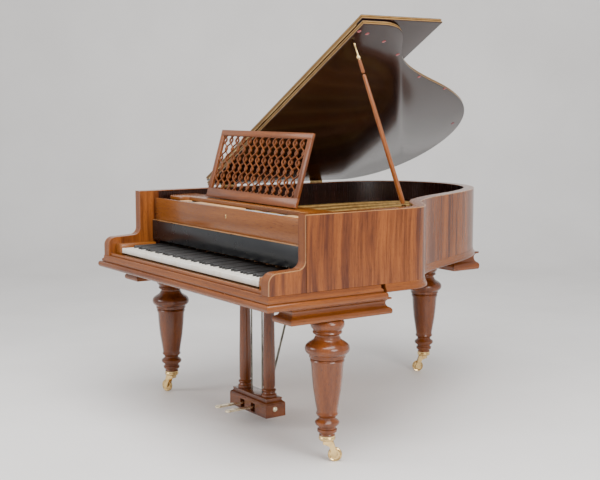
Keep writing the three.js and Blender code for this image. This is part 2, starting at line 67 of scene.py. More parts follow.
# ---- sizes of the frame, in millimetres ----
HALF_WIDTH = 709.0
TAIL = 1772.0
RIM_BOTTOM = 688.3
RIM_TOP = 980.0
LID_AXIS = np.array([-722.5, 0.0, 992.0])
LID_ANGLE = math.radians(29.6)
LID_OVERHANG = 12.0
FOLD_Y = 580.0
FLAP_FRONT = 158.0
FLAP_AXIS_UP = 14.0
KEY_PITCH = 23.5
KEY_COUNT = 50
FIRST_KEY = -592.0
MOVING_KEYS = (23, 24, 25)
DESK_PIVOT = np.array([-35.0, 406.0, 961.0])
DESK_TURN = math.radians(73.5)
PROP_FOOT = np.array([470.0, 850.0, 960.0])
PROP_TOP = np.array([439.856, 604.0, 1638.509])
LYRE_Y = 415.0

Shell = collections.namedtuple("Shell", "points quads caps grain finish", defaults=(None, 0))


# ---- surfaces ----
def grid_quads(rows, columns, close_rows=False, close_columns=False):
    """Four-cornered faces of a grid whose point (i, j) is number i * columns + j."""
    i = np.arange(rows if close_rows else rows - 1)[:, None]
    j = np.arange(columns if close_columns else columns - 1)[None, :]
    below = ((i + 1) % rows) * columns
    beside = (j + 1) % columns
    corners = [i * columns + j, below + j, below + beside, i * columns + beside]
    return np.stack(np.broadcast_arrays(*corners), -1).reshape(-1, 4)


def carried(outline, profile, follow=False):
    """A profile carried round a closed outline: point (i, j) is outline point i moved out along its
    mitred normal by profile j's reach, at profile j's height. Its first and last loops are capped.
    With follow the grain runs along the outline: along = distance round it, across = the profile."""
    outline, profile = np.asarray(outline, float), np.asarray(profile, float)
    ahead = np.roll(outline, -1, 0) - outline
    ahead /= np.linalg.norm(ahead, axis=1)[:, None]
    normal = np.stack([ahead[:, 1], -ahead[:, 0]], 1)
    back = np.roll(normal, 1, 0)
    mitre = (normal + back) / (1 + np.sum(normal * back, 1))[:, None]
    plan = outline[:, None, :] + profile[None, :, :1] * mitre[:, None, :]
    height = np.broadcast_to(profile[None, :, 1:], plan.shape[:2] + (1,))
    rows, columns = plan.shape[:2]
    points = np.concatenate([plan, height], -1).reshape(-1, 3)
    ring = np.arange(rows) * columns
    grain = None
    if follow:
        steps = np.linalg.norm(np.diff(outline, axis=0), axis=1)
        distance = np.concatenate([[0], np.cumsum(steps)])
        across = np.broadcast_to(profile[None], (rows, columns, 2))
        along = np.broadcast_to(distance[:, None, None], (rows, columns, 1))
        grain = np.concatenate([across, along], -1).reshape(-1, 3) / 1000
    return Shell(points, grid_quads(rows, columns, close_rows=True), [ring, ring + columns - 1], grain)


def turned(profile, centre=(0, 0), sides=64):
    """A turned piece: point (i, j) stands at angle i round the centre, at profile j's radius and height."""
    profile = np.asarray(profile, float)
    angle = np.linspace(0, 2 * np.pi, sides, endpoint=False)[:, None]
    x = centre[0] + profile[None, :, 0] * np.cos(angle)
    y = centre[1] + profile[None, :, 0] * np.sin(angle)
    points = np.stack([x, y, np.broadcast_to(profile[None, :, 1], x.shape)], -1).reshape(-1, 3)
    ring = np.arange(sides) * len(profile)
    return Shell(points, grid_quads(sides, len(profile), close_rows=True), [ring, ring + len(profile) - 1])


def rod(path, radius, sides=12):
    """A round rod: at each point of its path a circle of that radius stands square to the path."""
    path = np.asarray(path, float)
    along = np.gradient(path, axis=0)
    along /= np.linalg.norm(along, axis=1)[:, None]
    upright = abs(along[:, 2]).mean() > 0.9
    first = np.cross(along, [1.0, 0, 0] if upright else [0, 0, 1.0])
    first /= np.linalg.norm(first, axis=1)[:, None]
    second = np.cross(along, first)
    angle = np.linspace(0, 2 * np.pi, sides, endpoint=False)
    radius = np.broadcast_to(np.asarray(radius, float), len(path))[:, None, None]
    circle = np.cos(angle)[None, :, None] * first[:, None] + np.sin(angle)[None, :, None] * second[:, None]
    points = (path[:, None] + radius * circle).reshape(-1, 3)
    ring = np.arange(sides)
    return Shell(points, grid_quads(len(path), sides, close_columns=True),
                 [ring, ring + (len(path) - 1) * sides])


def between(low, high, ease=1.5):
    """A block between two corners, its upper and lower edges eased by a small quarter round."""
    (x0, y0, z0), (x1, y1, z1) = low, high
    return carried(rectangle(x0, x1, y0, y1, ease), eased(z0, z1, ease))


def copies(shell, offsets):
    """The same shell set down at each offset, as one shell."""
    offsets = np.asarray(offsets, float)
    count, size = len(offsets), len(shell.points)
    points = (offsets[:, None] + shell.points[None]).reshape(-1, 3)
    jump = np.arange(count) * size
    quads = (jump[:, None, None] + shell.quads[None]).reshape(-1, 4)
    caps = [cap + start for start in jump for cap in shell.caps]
    return Shell(points, quads, caps)


def moved(shell, matrix=None, shift=(0, 0, 0)):
    """The shell turned by a 3 x 3 matrix and then shifted; its grain stays with the wood."""
    points = shell.points if matrix is None else shell.points @ np.asarray(matrix, float).T
    return shell._replace(points=points + np.asarray(shift, float))


def with_grain(shell, along):
    """The shell with solid wood grain along one of its own axes, set before it is turned into place."""
    order = {"x": [1, 2, 0], "y": [0, 2, 1], "z": [0, 1, 2]}[along]
    return shell._replace(grain=shell.points[:, order] / 1000)


def rectangle(x0, x1, y0, y1, radius=0.0, steps=3):
    """A rectangle's outline, anticlockwise, with quarter-round corners."""
    if radius <= 0:
        return np.array([[x0, y0], [x1, y0], [x1, y1], [x0, y1]], float)
    angle = np.linspace(0, np.pi / 2, steps + 1)
    quarter = np.stack([np.cos(angle), np.sin(angle)], 1) * radius
    turn = np.array([[0.0, -1.0], [1.0, 0.0]])
    corners = [(x1 - radius, y1 - radius), (x0 + radius, y1 - radius), (x0 + radius, y0 + radius),
               (x1 - radius, y0 + radius)]
    arcs = [np.array(c) + quarter @ np.linalg.matrix_power(turn, k).T for k, c in enumerate(corners)]
    return np.concatenate(arcs)


def eased(low, high, radius):
    """A plain edge profile, (reach, height) from low to high, rounded at both arrises."""
    r = radius
    return [(-r, low), (-0.3 * r, low + 0.3 * r), (0, low + r), (0, high - r), (-0.3 * r, high - 0.3 * r),
            (-r, high)]


def curve(corners, steps):
    """A Bezier curve through its end corners, as steps + 1 points:
    the Bernstein weights times the corners."""
    corners = np.asarray(corners, float)
    t = np.linspace(0, 1, steps + 1)[:, None]
    degree = len(corners) - 1
    weights = [math.comb(degree, k) * t**k * (1 - t) ** (degree - k) for k in range(degree + 1)]
    return sum(w * c for w, c in zip(weights, corners))


PLAN_BENDS = (
    ((HALF_WIDTH, 680), (HALF_WIDTH, 800), (630, 830), (560, 875)),
    ((560, 875), (450, 945), (390, 1040), (326, 1168)),
    ((326, 1168), (262, 1296), (220, 1420), (120, 1560)),
    ((120, 1560), (20, 1700), (-130, TAIL), (-270, TAIL)),
    ((-270, TAIL), (-520, TAIL), (-HALF_WIDTH, 1600), (-HALF_WIDTH, 1350)),
)


def case_route(front, steps=26):
    """The case's plan line from the treble front round the tail to the bass front: points, outward
    normals and the distance walked, so that a place on the case is point + reach * normal."""
    bends = [curve(corners, steps)[(1 if k else 0):] for k, corners in enumerate(PLAN_BENDS)]
    line = np.concatenate([[[HALF_WIDTH, front]], *bends, [[-HALF_WIDTH, front]]])
    along = np.diff(line, axis=0)
    length = np.linalg.norm(along, axis=1)
    along /= length[:, None]
    normal = np.stack([along[:, 1], -along[:, 0]], 1)
    corner = np.concatenate([normal[:1], normal[:-1] + normal[1:], normal[-1:]])
    corner /= np.linalg.norm(corner, axis=1)[:, None]
    return line, corner, np.concatenate([[0], np.cumsum(length)])


def case_outline(spread, front, steps=26):
    """The closed plan of the case moved outwards by spread and cut off straight at its front."""
    line, normal, _ = case_route(front, steps)
    return line + spread * normal


def build(name, shells, materials, body, along="z", weld=True, smooth=35.0, stands_for=()):
    """Puts shells into one mesh object in metres, facing outwards, with its grain attribute, and
    lets it ride on a body. A shell without its own grain gets solid wood with fibres along one axis."""
    order = {"x": [1, 2, 0], "y": [0, 2, 1], "z": [0, 1, 2]}[along]
    points, faces, grain, finish, start = [], [], [], [], 0
    for shell in shells:
        points.append(shell.points)
        faces += (shell.quads + start).tolist()
        faces += [(cap + start).tolist() for cap in shell.caps]
        grain.append(shell.points[:, order] / 1000 if shell.grain is None else shell.grain)
        count = len(shell.quads) + len(shell.caps)
        finish.append(np.broadcast_to(np.asarray(shell.finish), count))
        start += len(shell.points)
    place = (np.concatenate(points) + [0, FRONT, 0]) / 1000
    mesh = bpy.data.meshes.new(name)
    mesh.from_pydata(place.tolist(), [], faces)
    mesh.attributes.new("grain", "FLOAT_VECTOR", "POINT")
    mesh.attributes["grain"].data.foreach_set("vector", np.concatenate(grain).astype(np.float32).ravel())
    for material in materials if isinstance(materials, (list, tuple)) else [materials]:
        mesh.materials.append(material)
    mesh.polygons.foreach_set("material_index", np.concatenate(finish).astype(np.int32))
    shape = bmesh.new()
    shape.from_mesh(mesh)
    if weld:
        bmesh.ops.remove_doubles(shape, verts=shape.verts, dist=1e-6)
        bmesh.ops.dissolve_degenerate(shape, edges=shape.edges, dist=1e-6)
    bmesh.ops.recalc_face_normals(shape, faces=shape.faces)
    shape.to_mesh(mesh)
    shape.free()
    mesh.shade_smooth()
    mesh.set_sharp_from_angle(angle=math.radians(smooth))
    piece = bpy.data.objects.new(name, mesh)
    bpy.context.scene.collection.objects.link(piece)
    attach(piece, body)
    if stands_for:
        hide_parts(*stands_for)
    return piece


def dress(material, *nodes):
    """Gives the frame's own solids a finish."""
    for node in nodes:
        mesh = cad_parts[node].data
        mesh.materials.clear()
        mesh.materials.append(material)


def material_named(name):
    """A finish made earlier in the run."""
    found = bpy.data.materials.get("piano_" + name)
    if found is None:
        raise RuntimeError(f"the finish {name} isn't made yet: mix the finishes first")
    return found


# ---- finishes ----
def wood(name, light, dark, pores, band_scale, band_contrast, roughness, coat, source="grain",
         turn=(0, 0, 0)):
    """Polished wood. Slow noise stretched along the fibres makes dark and light bands, a faster one
    makes single fibres, and a thresholded one makes short open pores that are darker and sunk."""
    mat = bpy.data.materials.new("piano_" + name)
    mat.use_nodes = True
    nodes, links = mat.node_tree.nodes, mat.node_tree.links
    nodes.clear()

    coordinates = nodes.new("NodeFrame")
    coordinates.label = "Where the wood is"
    banding = nodes.new("NodeFrame")
    banding.label = "Bands of the figure"
    fibres = nodes.new("NodeFrame")
    fibres.label = "Fibres and pores"
    polish = nodes.new("NodeFrame")
    polish.label = "French polish"

    if source == "grain":
        place = nodes.new("ShaderNodeAttribute")
        place.attribute_name = "grain"
    else:
        place = nodes.new("ShaderNodeTexCoord")
    place.label = "Across and along the fibres"
    lie = nodes.new("ShaderNodeMapping")
    lie.label = "Turn the fibres to lie along the board"
    waver = nodes.new("ShaderNodeTexNoise")
    waver.label = "Slow waver of the fibres"
    shift = nodes.new("ShaderNodeVectorMath")
    shift.label = "Waver moves the bands"
    stretch = nodes.new("ShaderNodeMapping")
    stretch.label = "Bands stretched along the fibres"
    bands = nodes.new("ShaderNodeTexNoise")
    bands.label = "Growth bands"
    tones = nodes.new("ShaderNodeValToRGB")
    tones.label = "Dark and light tones"
    patches = nodes.new("ShaderNodeTexNoise")
    patches.label = "Broad change from leaf to leaf"
    faded = nodes.new("ShaderNodeMix")
    faded.label = "Sun-faded patches"
    comb = nodes.new("ShaderNodeMapping")
    comb.label = "Fine stretch along the fibres"
    fibre = nodes.new("ShaderNodeTexNoise")
    fibre.label = "Single fibres"
    fibre_tone = nodes.new("ShaderNodeMapRange")
    fibre_tone.label = "Strength of the fibres"
    combed = nodes.new("ShaderNodeMix")
    combed.label = "Fibres over the bands"
    dash = nodes.new("ShaderNodeMapping")
    dash.label = "Short dashes"
    pore = nodes.new("ShaderNodeTexNoise")
    pore.label = "Open pores"
    pore_mask = nodes.new("ShaderNodeMapRange")
    pore_mask.label = "Only the deepest pores"
    pored = nodes.new("ShaderNodeMix")
    pored.label = "Darken the pores"
    gloss = nodes.new("ShaderNodeMapRange")
    gloss.label = "Polish a little duller over the fibres"
    relief = nodes.new("ShaderNodeMath")
    relief.label = "Fibre height less pore depth"
    bump = nodes.new("ShaderNodeBump")
    bump.label = "Grain felt through the polish"
    surface = nodes.new("ShaderNodeBsdfPrincipled")
    surface.label = "Wood under polish"
    output = nodes.new("ShaderNodeOutputMaterial")
    output.label = name

    for node, group, x, y in (
        (place, coordinates, -1900, 200), (lie, coordinates, -1700, 200), (waver, coordinates, -1500, 60),
        (shift, coordinates, -1300, 200), (stretch, banding, -1100, 400), (bands, banding, -900, 400),
        (tones, banding, -700, 400), (patches, banding, -900, 640), (faded, banding, -400, 460),
        (comb, fibres, -1100, 60), (fibre, fibres, -900, 60), (fibre_tone, fibres, -700, 60),
        (combed, fibres, -200, 300), (dash, fibres, -1100, -260), (pore, fibres, -900, -260),
        (pore_mask, fibres, -700, -260), (pored, fibres, 0, 260), (gloss, polish, 0, -60),
        (relief, polish, -200, -260), (bump, polish, 0, -300), (surface, polish, 260, 200),
        (output, polish, 560, 200),
    ):
        node.parent = group
        node.location = (x, y)

    lie.inputs["Rotation"].default_value = turn
    waver.inputs["Scale"].default_value = 3.1
    waver.inputs["Detail"].default_value = 2.0
    shift.operation = "MULTIPLY_ADD"
    shift.inputs[1].default_value = (0.03, 0.03, 0.0)
    stretch.inputs["Scale"].default_value = (band_scale, band_scale, band_scale * 0.045)
    bands.inputs["Scale"].default_value = 1.0
    bands.inputs["Detail"].default_value = 4.0
    bands.inputs["Roughness"].default_value = 0.62
    tones.color_ramp.elements[0].position = 0.5 - band_contrast
    tones.color_ramp.elements[0].color = (*dark, 1.0)
    tones.color_ramp.elements[1].position = 0.5 + band_contrast
    tones.color_ramp.elements[1].color = (*light, 1.0)
    patches.inputs["Scale"].default_value = 2.6
    patches.inputs["Detail"].default_value = 1.0
    faded.data_type = "RGBA"
    faded.blend_type = "MULTIPLY"
    faded.inputs[7].default_value = (0.66, 0.58, 0.52, 1.0)
    comb.inputs["Scale"].default_value = (430.0, 430.0, 7.0)
    fibre.inputs["Scale"].default_value = 1.0
    fibre.inputs["Detail"].default_value = 2.0
    fibre_tone.inputs["From Min"].default_value = 0.3
    fibre_tone.inputs["From Max"].default_value = 0.7
    fibre_tone.inputs["To Min"].default_value = 0.55
    fibre_tone.inputs["To Max"].default_value = 0.0
    combed.data_type = "RGBA"
    combed.blend_type = "MULTIPLY"
    combed.inputs[7].default_value = (0.62, 0.5, 0.42, 1.0)
    dash.inputs["Scale"].default_value = (900.0, 900.0, 38.0)
    pore.inputs["Scale"].default_value = 1.0
    pore.inputs["Detail"].default_value = 1.0
    pore_mask.inputs["From Min"].default_value = 0.63
    pore_mask.inputs["From Max"].default_value = 0.72
    pored.data_type = "RGBA"
    pored.inputs[7].default_value = (*pores, 1.0)
    gloss.inputs["To Min"].default_value = roughness - 0.04
    gloss.inputs["To Max"].default_value = roughness + 0.08
    relief.operation = "SUBTRACT"
    bump.inputs["Strength"].default_value = 0.06
    bump.inputs["Distance"].default_value = 0.0003
    surface.inputs["Coat Weight"].default_value = coat
    surface.inputs["Coat Roughness"].default_value = 0.09
    surface.inputs["Coat IOR"].default_value = 1.5
    surface.inputs["Specular IOR Level"].default_value = 0.4

    links.new(place.outputs["Vector" if source == "grain" else "Object"], lie.inputs["Vector"])
    links.new(lie.outputs["Vector"], waver.inputs["Vector"])
    links.new(waver.outputs["Color"], shift.inputs[0])
    links.new(lie.outputs["Vector"], shift.inputs[2])
    links.new(shift.outputs["Vector"], stretch.inputs["Vector"])
    links.new(stretch.outputs["Vector"], bands.inputs["Vector"])
    links.new(bands.outputs["Fac"], tones.inputs["Fac"])
    links.new(lie.outputs["Vector"], patches.inputs["Vector"])
    links.new(patches.outputs["Fac"], faded.inputs[0])
    links.new(tones.outputs["Color"], faded.inputs[6])
    links.new(shift.outputs["Vector"], comb.inputs["Vector"])
    links.new(comb.outputs["Vector"], fibre.inputs["Vector"])
    links.new(fibre.outputs["Fac"], fibre_tone.inputs["Value"])
    links.new(fibre_tone.outputs["Result"], combed.inputs[0])
    links.new(faded.outputs[2], combed.inputs[6])
    links.new(lie.outputs["Vector"], dash.inputs["Vector"])
    links.new(dash.outputs["Vector"], pore.inputs["Vector"])
    links.new(pore.outputs["Fac"], pore_mask.inputs["Value"])
    links.new(pore_mask.outputs["Result"], pored.inputs[0])
    links.new(combed.outputs[2], pored.inputs[6])
    links.new(pored.outputs[2], surface.inputs["Base Color"])
    links.new(fibre.outputs["Fac"], gloss.inputs["Value"])
    links.new(gloss.outputs["Result"], surface.inputs["Roughness"])
    links.new(fibre.outputs["Fac"], relief.inputs[0])
    links.new(pore_mask.outputs["Result"], relief.inputs[1])
    links.new(relief.outputs["Value"], bump.inputs["Height"])
    links.new(bump.outputs["Normal"], surface.inputs["Normal"])
    links.new(surface.outputs["BSDF"], output.inputs["Surface"])
    return mat


def metal(name, bright, tarnished, low, high, grit_scale, grit_depth, metallic=1.0):
    """Metal with tarnish: a broad noise mixes the bright and the tarnished colour and dulls the
    polish with it, and a fine noise gives the brushed or cast skin."""
    mat = bpy.data.materials.new("piano_" + name)
    mat.use_nodes = True
    nodes, links = mat.node_tree.nodes, mat.node_tree.links
    nodes.clear()

    age = nodes.new("NodeFrame")
    age.label = "Tarnish"
    skin = nodes.new("NodeFrame")
    skin.label = "Skin of the metal"

    place = nodes.new("ShaderNodeTexCoord")
    place.label = "Place on the fitting"
    blotches = nodes.new("ShaderNodeTexNoise")
    blotches.label = "Blotches of tarnish"
    spread = nodes.new("ShaderNodeMapRange")
    spread.label = "How far it has spread"
    colour = nodes.new("ShaderNodeMix")
    colour.label = "Bright to tarnished"
    dull = nodes.new("ShaderNodeMapRange")
    dull.label = "Tarnish is duller"
    grit = nodes.new("ShaderNodeTexNoise")
    grit.label = "Fine scratches and casting skin"
    bump = nodes.new("ShaderNodeBump")
    bump.label = "Depth of the skin"
    surface = nodes.new("ShaderNodeBsdfPrincipled")
    surface.label = "Metal"
    output = nodes.new("ShaderNodeOutputMaterial")
    output.label = name

    for node, group, x, y in (
        (place, age, -1000, 100), (blotches, age, -800, 200), (spread, age, -600, 200),
                              (colour, age, -380, 260),
        (dull, age, -380, 20), (grit, skin, -800, -240), (bump, skin, -380, -240), (surface, skin, -120, 120),
        (output, skin, 180, 120),
    ):
        node.parent = group
        node.location = (x, y)

    blotches.inputs["Scale"].default_value = 38.0
    blotches.inputs["Detail"].default_value = 5.0
    spread.inputs["From Min"].default_value = 0.42
    spread.inputs["From Max"].default_value = 0.72
    colour.data_type = "RGBA"
    colour.inputs[6].default_value = (*bright, 1.0)
    colour.inputs[7].default_value = (*tarnished, 1.0)
    dull.inputs["To Min"].default_value = low
    dull.inputs["To Max"].default_value = high
    grit.inputs["Scale"].default_value = grit_scale
    grit.inputs["Detail"].default_value = 3.0
    bump.inputs["Strength"].default_value = grit_depth
    bump.inputs["Distance"].default_value = 0.0004
    surface.inputs["Metallic"].default_value = metallic

    links.new(place.outputs["Object"], blotches.inputs["Vector"])
    links.new(blotches.outputs["Fac"], spread.inputs["Value"])
    links.new(spread.outputs["Result"], colour.inputs[0])
    links.new(colour.outputs[2], surface.inputs["Base Color"])
    links.new(spread.outputs["Result"], dull.inputs["Value"])
    links.new(dull.outputs["Result"], surface.inputs["Roughness"])
    links.new(place.outputs["Object"], grit.inputs["Vector"])
    links.new(grit.outputs["Fac"], bump.inputs["Height"])
    links.new(bump.outputs["Normal"], surface.inputs["Normal"])
    links.new(surface.outputs["BSDF"], output.inputs["Surface"])
    return mat


def smooth_finish(name, colour, worn, roughness, coat, cloud_scale, sheen=0.0, nap=0.0, nap_scale=900.0):
    """A fine close surface such as lacquer, ivory or felt: clouds of a worn colour, a polish that
    changes with them, and a nap whose depth is nothing on lacquer and soft on felt."""
    mat = bpy.data.materials.new("piano_" + name)
    mat.use_nodes = True
    nodes, links = mat.node_tree.nodes, mat.node_tree.links
    nodes.clear()

    tint = nodes.new("NodeFrame")
    tint.label = "Colour and wear"
    touch = nodes.new("NodeFrame")
    touch.label = "Touch"

    place = nodes.new("ShaderNodeTexCoord")
    place.label = "Place on the piece"
    clouds = nodes.new("ShaderNodeTexNoise")
    clouds.label = "Clouds of handling"
    amount = nodes.new("ShaderNodeMapRange")
    amount.label = "How much wear"
    mixed = nodes.new("ShaderNodeMix")
    mixed.label = "Clean to handled"
    polish = nodes.new("ShaderNodeMapRange")
    polish.label = "Polish"
    pile = nodes.new("ShaderNodeTexNoise")
    pile.label = "Nap or dust"
    bump = nodes.new("ShaderNodeBump")
    bump.label = "Depth of the nap"
    surface = nodes.new("ShaderNodeBsdfPrincipled")
    surface.label = "Close surface"
    output = nodes.new("ShaderNodeOutputMaterial")
    output.label = name

    for node, group, x, y in (
        (place, tint, -1000, 100), (clouds, tint, -800, 200), (amount, tint, -600, 200),
                              (mixed, tint, -380, 260),
        (polish, touch, -380, 0), (pile, touch, -800, -240), (bump, touch, -380, -260),
                              (surface, touch, -120, 120),
        (output, touch, 180, 120),
    ):
        node.parent = group
        node.location = (x, y)

    clouds.inputs["Scale"].default_value = cloud_scale
    clouds.inputs["Detail"].default_value = 4.0
    amount.inputs["From Min"].default_value = 0.35
    amount.inputs["From Max"].default_value = 0.75
    mixed.data_type = "RGBA"
    mixed.inputs[6].default_value = (*colour, 1.0)
    mixed.inputs[7].default_value = (*worn, 1.0)
    polish.inputs["To Min"].default_value = roughness
    polish.inputs["To Max"].default_value = min(1.0, roughness + 0.1)
    pile.inputs["Scale"].default_value = nap_scale
    pile.inputs["Detail"].default_value = 3.0
    bump.inputs["Strength"].default_value = nap
    bump.inputs["Distance"].default_value = 0.0006
    surface.inputs["Coat Weight"].default_value = coat
    surface.inputs["Coat Roughness"].default_value = 0.06
    surface.inputs["Sheen Weight"].default_value = sheen
    surface.inputs["Sheen Roughness"].default_value = 0.5

    links.new(place.outputs["Object"], clouds.inputs["Vector"])
    links.new(clouds.outputs["Fac"], amount.inputs["Value"])
    links.new(amount.outputs["Result"], mixed.inputs[0])
    links.new(mixed.outputs[2], surface.inputs["Base Color"])
    links.new(amount.outputs["Result"], polish.inputs["Value"])
    links.new(polish.outputs["Result"], surface.inputs["Roughness"])
    links.new(place.outputs["Object"], pile.inputs["Vector"])
    links.new(pile.outputs["Fac"], bump.inputs["Height"])
    links.new(bump.outputs["Normal"], surface.inputs["Normal"])
    links.new(surface.outputs["BSDF"], output.inputs["Surface"])
    return mat


def mix_finishes(choice):
    """Mixes every finish once, from the colours chosen in the panel."""
    light, dark, lacquer = tuple(choice.walnut_light), tuple(choice.walnut_dark), tuple(choice.lid_colour)
    wood("veneered_walnut", light, dark, (0.035, 0.01, 0.003), 34.0, 0.13, choice.polish, 0.14)
    wood("moulded_walnut", (0.32, 0.1, 0.014), (0.16, 0.042, 0.006), (0.05, 0.014, 0.004), 22.0, 0.2,
         choice.polish, 0.18)
    wood("turned_walnut", (0.26, 0.074, 0.014), (0.115, 0.029, 0.006), (0.02, 0.005, 0.002), 20.0, 0.18,
         choice.polish, 0.25)
    wood("panel_walnut", (0.34, 0.118, 0.02), (0.18, 0.055, 0.009), (0.05, 0.015, 0.004), 9.0, 0.2,
         choice.polish, 0.14)
    wood("desk_walnut", (0.3, 0.092, 0.017), (0.14, 0.038, 0.007), (0.04, 0.012, 0.004), 26.0, 0.2, 0.3, 0.12)
    wood("inner_rosewood", (0.03, 0.008, 0.005), (0.01, 0.003, 0.002), (0.004, 0.002, 0.001), 26.0, 0.2, 0.24,
         0.2)
    wood("lid_mahogany", lacquer, tuple(0.42 * c for c in lacquer), (0.004, 0.0015, 0.001), 12.0, 0.25, 0.16,
         0.3)
    wood("gilded_edge", (0.36, 0.22, 0.07), (0.2, 0.11, 0.03), (0.07, 0.035, 0.012), 26.0, 0.25, 0.3, 0.2)
    # Pale strip finish; on the rim capping it is a painted highlight along the top arris
    wood("pale_edge_strip", (0.5, 0.27, 0.11), (0.38, 0.19, 0.07), (0.2, 0.09, 0.04), 60.0, 0.3, 0.25, 0.4)
    wood("prop_walnut", (0.4, 0.13, 0.027), (0.24, 0.07, 0.014), (0.08, 0.024, 0.008), 40.0, 0.2, 0.26, 0.2)
    wood("raw_beech", (0.76, 0.5, 0.26), (0.6, 0.36, 0.17), (0.36, 0.19, 0.09), 30.0, 0.3, 0.5, 0.0)
    wood("frame_beech", (0.62, 0.38, 0.18), (0.42, 0.24, 0.11), (0.24, 0.12, 0.06), 24.0, 0.3, 0.55, 0.0,
         "object",
         (math.radians(90), 0, 0))
    wood("soundboard_spruce", (0.78, 0.47, 0.19), (0.6, 0.32, 0.11), (0.42, 0.2, 0.07), 90.0, 0.2, 0.33, 0.35,
         "object",
         (math.radians(90), 0, math.radians(35)))
    metal("polished_brass", (0.86, 0.62, 0.28), (0.42, 0.26, 0.1), 0.16, 0.38, 260.0, 0.08)
    metal("pale_brass", (0.88, 0.78, 0.55), (0.6, 0.48, 0.28), 0.2, 0.36, 300.0, 0.08)
    metal("bronzed_plate", (0.78, 0.47, 0.15), (0.5, 0.27, 0.08), 0.34, 0.5, 420.0, 0.25, 0.75)
    metal("dark_iron", (0.16, 0.15, 0.12), (0.07, 0.06, 0.05), 0.32, 0.5, 240.0, 0.2)
    metal("blued_steel", (0.5, 0.5, 0.52), (0.24, 0.23, 0.24), 0.2, 0.36, 500.0, 0.05)
    metal("copper_winding", (0.72, 0.33, 0.17), (0.34, 0.15, 0.08), 0.26, 0.46, 700.0, 0.2)
    smooth_finish("ebonised_lacquer", (0.0015, 0.002, 0.003), (0.004, 0.0045, 0.006), 0.26, 0.0, 14.0)
    smooth_finish("key_ivory", (0.86, 0.83, 0.76), (0.74, 0.67, 0.54), 0.26, 0.3, 26.0)
    smooth_finish("key_ebony", (0.004, 0.0035, 0.0035), (0.014, 0.012, 0.011), 0.34, 0.0, 40.0)
    smooth_finish("grey_felt", (0.3, 0.31, 0.32), (0.2, 0.2, 0.21), 0.85, 0.0, 60.0, 0.4, 0.8)
    smooth_finish("red_felt", (0.3, 0.02, 0.02), (0.18, 0.012, 0.014), 0.85, 0.0, 60.0, 0.4, 0.8)
    smooth_finish("white_felt", (0.75, 0.73, 0.68), (0.6, 0.57, 0.5), 0.85, 0.0, 60.0, 0.4, 0.8)
    smooth_finish("pale_floor", (0.8, 0.775, 0.75), (0.74, 0.715, 0.69), 0.5, 0.0, 1.4)


BULLNOSE = [(-11, 631), (-4.6, 632.9), (-1.2, 637), (0, 645), (-1.2, 653), (-4.6, 657.1), (-11, 659)]
TRESTLE_EDGE = [(-9, 565.2), (-4, 566.4), (-1, 570), (0, 577), (-1, 584), (-4, 588.5), (-9, 591.5),
                (-15, 595),
                (-19, 601), (-20.5, 608), (-19.5, 615), (-16, 620), (-10, 623), (-4, 624.2), (-3, 626),
                (-3, 630.6)]
LID_EDGE = [(-4, -11), (-1.2, -9.8), (0, -7), (0, -2.5), (-3.2, -1.4), (-3.2, 1.4), (0, 2.5), (0, 7),
            (-1.2, 9.8), (-4, 11)]
LEG = [(31, 106.2), (31.5, 109), (30, 112), (31, 115), (38, 121), (39, 125), (38.5, 131), (34, 134),
       (34.5, 139),
       (36, 142), (45, 149), (48, 155), (47.5, 161), (43, 166), (36, 171), (33, 175), (33.5, 179), (41, 187),
       (43.5, 191), (42.5, 196), (40.5, 202), (42, 212), (45, 232), (54, 287), (59.5, 342), (63, 392),
       (66, 399),
       (67.5, 404), (66, 408.5), (63.5, 411), (66, 412), (70, 415), (71, 418.5), (70, 422), (71, 427),
       (78, 432),
       (84, 438), (87, 445), (87.3, 453), (85, 462), (78, 470), (66, 478), (56, 484), (52, 489), (50, 494),
       (46.5, 500),
       (47, 505), (55, 509), (57.5, 513), (57, 517), (54, 521), (58, 527), (64, 535), (67, 545), (66, 555),
       (61, 562),
       (56, 564.6)]
LEG_STANDS = {"bass": (-644.0, 332.0), "treble": (644.0, 332.0), "rear": (-285.0, 1620.0)}
COLUMN = [(33, 128.4), (34, 133), (33, 139), (28, 143), (26, 149), (30, 153), (31, 157), (29, 161),
          (23.5, 164),
          (24, 169), (26.5, 174), (26.5, 300), (22.5, 540), (22, 556), (25, 559), (26, 565), (25, 571),
          (22, 574),
          (21.5, 582), (26, 592), (33, 601), (33.5, 608), (36, 611), (37.5, 615), (37.5, 630.6)]


def lid_turned(shell):
    """From the lid's own plan, measured from its hinge line, to the raised lid."""
    c, s = math.cos(LID_ANGLE), math.sin(LID_ANGLE)
    return moved(shell, [[c, 0, -s], [0, 1, 0], [s, 0, c]], LID_AXIS)


class PianoChoices(bpy.types.PropertyGroup):
    walnut_light: FloatVectorProperty(name="Light walnut", description="Light bands of the case veneer",
                                      subtype="COLOR",
                                      size=3, min=0, max=1, default=(0.32, 0.1, 0.02))
    walnut_dark: FloatVectorProperty(name="Dark walnut", description="Dark bands of the case veneer",
                                     subtype="COLOR",
                                     size=3, min=0, max=1, default=(0.1, 0.024, 0.006))
    lid_colour: FloatVectorProperty(name="Lid mahogany", description="Colour under the lid's polish",
                                    subtype="COLOR",
                                    size=3, min=0, max=1, default=(0.03, 0.008, 0.0045))
    polish: FloatProperty(name="Polish", description="Roughness of the French polish", default=0.22, min=0.05,
                          max=0.8)


class PianoSizes(bpy.types.PropertyGroup):
    turning_sides: IntProperty(name="Turning", description="Faces round each turned leg", default=72, min=12,
                               max=160)
    capping: FloatProperty(name="Rim capping", description="Thickness of the strip on the rim's edge",
                           unit="LENGTH",
                           default=0.003, min=0.001, max=0.006)
    fret_rib: FloatProperty(name="Fret rib", description="Width of a rib in the music desk", unit="LENGTH",
                            default=0.0062, min=0.002, max=0.012)
    string_groups: IntProperty(name="Strings", description="Strings over the plate", default=150, min=20,
                               max=220)


